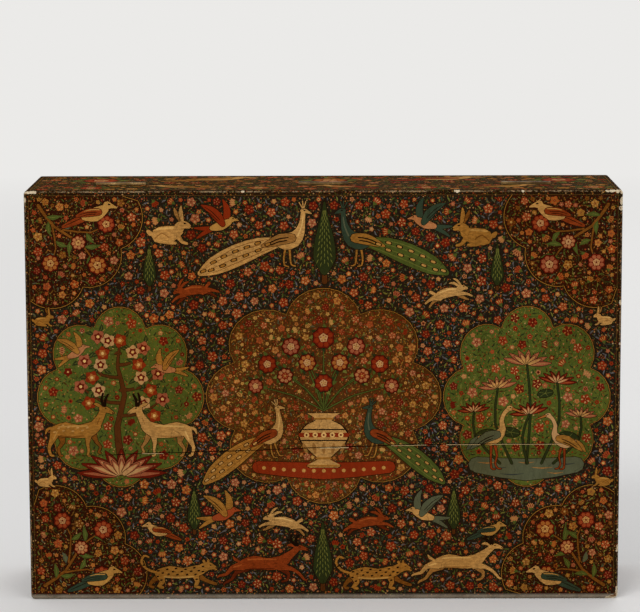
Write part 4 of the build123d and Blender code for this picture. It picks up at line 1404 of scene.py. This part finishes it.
def make_mesh(name, shell, low, high, open_side, found, materials):
    """A Blender mesh of a shell, with its paint, its picture coordinates and exact normals on the roundings."""
    used, faces = np.unique(shell.faces, return_inverse=True)
    faces = faces.reshape(-1, 3)
    places = shell.places[used]
    mesh = bpy.data.meshes.new(name)
    mesh.vertices.add(len(places))
    mesh.vertices.foreach_set("co", (places * MM).ravel())
    mesh.loops.add(faces.size)
    mesh.loops.foreach_set("vertex_index", faces.ravel())
    mesh.polygons.add(len(faces))
    mesh.polygons.foreach_set("loop_start", np.arange(0, faces.size, 3))
    mesh.polygons.foreach_set("material_index", shell.kinds)
    mesh.update(calc_edges=True)
    for material in materials:
        mesh.materials.append(material)
    paint = mesh.attributes.new("paint", "FLOAT_COLOR", "FACE")
    paint.data.foreach_set("color", shell.colours.ravel())
    corners = places[faces]
    normals = np.cross(corners[:, 1] - corners[:, 0], corners[:, 2] - corners[:, 0])
    normals /= np.maximum(np.linalg.norm(normals, axis=1, keepdims=True), 1e-12)
    spots = picture_spots(corners, normals, low, high, found)
    mesh.uv_layers.new(name="OFBake").data.foreach_set("uv", spots.ravel())
    far = np.array((0, 1000.0, 0))      # the open side has no roundings
    on_round, rounded = round_normals(low - far * (open_side < 0), high + far * (open_side > 0), corners)
    smooth = on_round.all(1) & (shell.kinds == 0)
    turned = np.repeat(normals[:, None], 3, axis=1)
    turned[smooth] = rounded[smooth]
    mesh.polygons.foreach_set("use_smooth", np.ones(len(faces), bool))
    mesh.normals_split_custom_set(turned.reshape(-1, 3).tolist())
    mesh.validate()
    return mesh


# ---------------------------------------------------------------- flakes and the long crack

# the edge, how far along it, the flake's length, and where they aren't the usual ones its breadth, depth and lumps
FLAKES = [
    ("top", -219, 15, 3.4, 0.7), ("top", 101, 7, 3.2, 0.75), ("top", 217, 13, 4, 0.76), ("top", 150, 4, 2.4, 0.6, 1),
    ("top", -60, 5, 2.2, 0.5, 2), ("right", 306, 20, 6.5, 0.82, 5), ("right", 229, 8, 3.2, 0.7),
    ("right", 198, 5, 2.6, 0.6, 2), ("right", 54, 5, 2.6, 0.6, 2), ("right", 39, 8, 3.2, 0.7),
    ("right", 6, 9, 3.4, 0.7), ("bottom", 219, 11, 3.2), ("left", 309, 8, 2.8), ("left", 142, 4, 2.2, 0.5, 1),
    ("bottom", -120, 5, 2.2, 0.5, 2)]
CORNER_FLAKES = [
    ((225.8, -56.8, 315.8), (4.4, 4.4, 4.4)), ((-226.0, -57.0, 316.0), (4.2, 4.2, 4.2)),
    ((225.4, -56.6, -0.4), (5.4, 4.4, 6.4)), ((220.7, -56.9, -0.5), (4.7, 3.7, 4.3))]


def flake(edge, at, length, breadth=2.6, depth=0.65, lumps=3):
    """Where lumps break a flake out of an edge of the lid's face: their middles and half sizes."""
    found = []
    draw = random.Random(at * 7 + length)
    inner = ARRIS * (1 - math.sqrt(0.5))
    for k in range(lumps):
        wide = breadth * draw.uniform(0.75, 1.1) if k else breadth
        deep = depth * draw.uniform(0.6, 1.0)
        along = at + length * (draw.uniform(-0.34, 0.34) if k else 0)
        half = length * (0.5 if lumps == 1 else draw.uniform(0.16, 0.24) if k else 0.34)
        tilt = math.radians(draw.uniform(33, 57)) if k else math.pi / 4
        y = LID_LOW[Y] + inner - (wide - deep) * math.cos(tilt)
        out = (wide - deep) * math.sin(tilt)
        axis = Z if edge in ("top", "bottom") else X
        beside = LID_HIGH[axis] - inner + out if edge in ("top", "right") else LID_LOW[axis] + inner - out
        if axis == Z:
            found.append(((along, y, beside), (half, wide, wide)))
        else:
            found.append(((beside, y, along), (wide, wide, half)))
    return found


CRACK = [(-195, 112), (-160, 113.2), (-138, 114.2), (-110, 114.8), (-75, 115.8), (-48, 116.7), (-3, 118.4),
         (24, 119.2), (51, 120.2), (78, 120.8), (119, 121), (165, 121), (190, 121)]
CRACK_WIDTH, CRACK_DEPTH = 0.42, 0.9
# pale strips on the crack's lower lip: partly worn gesso, partly painted highlight
WORN_LIP_AND_HIGHLIGHT = [(10, 14, 0.3), (30, 35, 0.5), (40, 46, 0.3), (47, 51, 0.36), (51, 59, 0.28)]    # two steps and a breadth
GROOVE_LOW, GROOVE_HIGH = (-210, LID_LOW[Y] + 0.01, 100), (210, LID_LOW[Y] + 1, 130)    # round the CAD groove


def crack_lips():
    """The upper and lower lips of the long crack: jagged, widest in the middle, closed at both ends."""
    line = bend(CRACK, 5)
    draw = random.Random(3)
    width = CRACK_WIDTH * np.sin(math.pi * np.linspace(0, 1, len(line))) ** 0.35
    width[[0, -1]] = 0.02
    jag = np.array([[0, draw.uniform(-0.14, 0.14)] for _ in line])
    gap = np.stack([0 * width, width * [draw.uniform(0.6, 1.2) for _ in line]], 1)
    return line + jag + gap, line + jag - gap


def paint_lid_front(panel, rng):
    """The front's picture, its bronze line, and the crack: its inside painted near-black as shade in the groove, and
    pale strips on its lower lip that are partly worn gesso and partly painted highlight.
    """
    inner = MARGIN + 0.6
    margins(panel, LID_LOW[[X, Z]] + inner, LID_HIGH[[X, Z]] - inner)
    paint_front(panel, rng)
    edge_line(panel, LINE_INSET - ARRIS, "bronze", 0.13)
    upper, lower = crack_lips()
    # painted shade: the crack between its lips is filled near-black
    panel.paint(np.vstack([upper, lower[::-1]]), "ink")
    for first, last, breadth in WORN_LIP_AND_HIGHLIGHT:
        lip = lower[first:last]
        panel.paint(np.vstack([lip, lip[::-1] - (0, breadth)]), "gesso")
    middle = ((upper + lower) / 2)[1:-1]
    # and a thinner near-black line down its middle, more painted shade
    panel.paint(np.vstack([middle + (0, 0.02), middle[::-1] - (0, 0.02)]), "ink")


def sink_crack(shell):
    """Presses the spots between the crack's lips into a V."""
    upper, lower = crack_lips()
    x, y, z = shell.places.T
    top, bottom = np.interp(x, *upper.T), np.interp(x, *lower.T)
    share = 1 - np.abs(z - (top + bottom) / 2) / np.maximum((top - bottom) / 2, 1e-6)
    hit = (x > upper[0, 0]) & (x < upper[-1, 0]) & (np.abs(y - LID_LOW[Y]) < 1e-6)
    shell.places[hit, Y] += (np.clip(share, 0, 1) * CRACK_DEPTH)[hit]


def make_lid():
    rng = random.Random(11)
    spots = [spot for each in FLAKES for spot in flake(*each)] + CORNER_FLAKES
    shell = chipped("lid_skin", spots, random.Random(5))
    middles = shell.places[shell.faces].mean(1)
    shell.drop(((middles > GROOVE_LOW) & (middles < GROOVE_HIGH)).all(1))
    shell.repaint(Y, LID_LOW[Y], paint_lid_front, "field", rng)
    sink_crack(shell)
    for axis, corner, flip in ((Z, LID_HIGH, False), (X, LID_HIGH, False), (X, LID_LOW, True), (Z, LID_LOW, True)):
        shell.repaint(axis, corner[axis], paint_strip, "olive_field", rng, flip)
    found = rooms(-1, ((0.002, 0.64), (0.645, 0.725), (0.73, 0.81), (0.815, 0.895), (0.9, 0.94), (0.945, 0.968),
                       (0.972, 0.998)))
    mesh = make_mesh("lid_painted_skin", shell, LID_LOW, LID_HIGH, 1, found, [LACQUER, GESSO])
    lid = linked("lid_painted_skin", mesh)
    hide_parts("lid_skin")
    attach(lid, "lid")


def make_base():
    rng = random.Random(23)
    top_flake = ((140, BASE_HIGH[Y] + 1.2, BASE_HIGH[Z] + 1.2), (7, 2.6, 2.6))
    shell = chipped("base_skin", [top_flake], rng)
    for axis, corner, flip in ((Z, BASE_HIGH, False), (X, BASE_HIGH, False), (X, BASE_LOW, True)):
        shell.repaint(axis, corner[axis], paint_strip, "olive_field", rng, flip)
    corners = shell.places[shell.faces]
    back = (corners[:, :, Y] > BASE_HIGH[Y] - ARRIS - 0.01).all(1)
    below = (corners[:, :, Z] < BASE_LOW[Z] + ARRIS + 0.01).all(1)
    shell.kinds[(back | below) & (shell.kinds == 0)] = 2
    found = rooms(1, ((0.002, 0.33), (0.335, 0.48), (0.485, 0.63), (0.635, 0.78), (0.785, 0.88), (0.885, 0.94),
                      (0.945, 0.998)))
    mesh = make_mesh("base_painted_skin", shell, BASE_LOW, BASE_HIGH, -1, found, [LACQUER, GESSO, PLAIN])
    base = linked("base_painted_skin", mesh)
    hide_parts("base_skin")
    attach(base, "base")


# ---------------------------------------------------------------- wood, lining and brass

PINE = ((70, 44, 22), (112, 76, 42), (146, 106, 64))
STAINED = ((38, 21, 11), (62, 36, 19), (84, 52, 29))
PEG = ((96, 68, 38), (140, 104, 62), (170, 132, 84))


def dress(names, material):
    for name in names:
        mesh = nodes[name].data
        mesh.materials.clear()
        mesh.materials.append(material)


def dress_inside():
    board, upright = timber("carcass_pine", PINE, X), timber("carcass_pine_upright", PINE, Z)
    edge = timber("stained_lip", STAINED, X, 0.8, 0.4)
    edge_upright = timber("stained_lip_upright", STAINED, Z, 0.8, 0.4)
    peg, paper, metal = timber("peg_wood", PEG, Y, 0.5), lining(), brass()
    for half in ("lid", "base"):
        lying = ("board_upper", "board_lower", "rail_hinge_side", "rail_front")
        dress([f"{half}_{name}" for name in lying], board)
        dress([f"{half}_rail_left", f"{half}_rail_right"], upright)
        dress([f"{half}_board_dowels", f"{half}_panel_pegs"], peg)
        dress([f"{half}_lining"], paper)
    dress(["lip_hinge_side", "lip_front"], edge)
    dress(["lip_left", "lip_right"], edge_upright)
    dress([name for name in nodes if name.startswith("hinge_")], metal)


make_lid()
make_base()
dress_inside()


# ---------------------------------------------------------------- camera, lamps and floor

PALE = tone(235, 234, 232)
WORLD_LIGHT = 0.42
FLOOR_REACH, FLOOR_LEVEL = 20, -0.0001      # in metres; a hair under the box
# place, target and size in metres, and watts
LAMPS = {"key": ((-1.1, -2.2, 2.0), (0, 0, 0.15), (1.6, 1.2), 38),
         "fill": ((1.7, -2.4, 1.2), (0, 0, 0.15), (2.0, 1.6), 23),
         "top": ((0.0, 0.4, 2.4), (0, 0, 0.2), (2.4, 1.4), 9),
         "back": ((0.8, 2.4, 1.8), (0, 0, 0.15), (2.0, 1.4), 20)}


def make_camera():
    """A long lens, a little above the middle and looking slightly down."""
    pitch, yaw, roll = math.radians(8.53), math.radians(0.371), math.radians(-0.175)
    data = bpy.data.cameras.new("camera")
    data.lens, data.sensor_width = 154.7, 36.0
    data.clip_start, data.clip_end = 0.05, 50.0
    camera = linked("camera", data)
    ahead = Vector((-math.sin(yaw) * math.cos(pitch), math.cos(yaw) * math.cos(pitch), -math.sin(pitch)))
    camera.rotation_mode = "QUATERNION"
    camera.rotation_quaternion = ahead.to_track_quat("-Z", "Y") @ Quaternion((0, 0, 1), roll)
    camera.location = Vector((10.75, -2108.1, 535.1)) * MM
    bpy.context.scene.camera = camera


def area_lamp(name, place, target, size, watts):
    data = bpy.data.lights.new(name, "AREA")
    data.shape, data.size, data.size_y, data.energy = "RECTANGLE", *size, watts
    lamp = linked(name, data)
    lamp.location = place
    lamp.rotation_euler = (Vector(target) - Vector(place)).to_track_quat("-Z", "Y").to_euler()


def make_stage():
    """A wide pale floor that takes the object's shadow and fades into the pale background far off."""
    mesh = bpy.data.meshes.new("floor")
    corners = [(x * FLOOR_REACH, y * FLOOR_REACH, FLOOR_LEVEL) for x, y in ((-1, -1), (1, -1), (1, 1), (-1, 1))]
    mesh.from_pydata(corners, [], [(0, 1, 2, 3)])
    f = Finish("floor_paper")
    paper = f.ramp(f.noise(0.6, 3), [(0.3, tone(236, 235, 233)), (0.7, tone(240, 239, 238))])
    mesh.materials.append(f.finished(Base_Color=paper, Roughness=0.85, Specular_IOR_Level=0.1))
    away = f.node("VectorMath", (f.place,), operation="LENGTH").outputs["Value"]
    share = f.times(f.span(away, 900, 3200), f.seen())
    glow = f.node("Emission", (PALE, 1.0)).outputs[0]
    both = f.node("MixShader", (share, f.shader.outputs[0], glow)).outputs[0]
    f.feed(f.tree.nodes["Material Output"].inputs[0], both)
    linked("floor", mesh)


def make_world():
    """Soft light from all round, with a pale background."""
    world = bpy.data.worlds.new("world")
    bpy.context.scene.world = world
    world.use_nodes = True
    graph = Graph(world.node_tree)
    light = graph.tree.nodes["Background"]
    graph.feed(light.inputs[0], (0.95, 0.95, 0.96, 1))
    graph.feed(light.inputs[1], WORLD_LIGHT)
    backdrop = graph.node("Background", (PALE, 1.0))
    both = graph.node("MixShader", (graph.seen(), light.outputs[0], backdrop.outputs[0]))
    graph.feed(graph.tree.nodes["World Output"].inputs[0], both.outputs[0])


make_camera()
make_stage()
make_world()
for name, settings in LAMPS.items():
    area_lamp(name, *settings)
bpy.context.scene.view_settings.view_transform = "Standard"
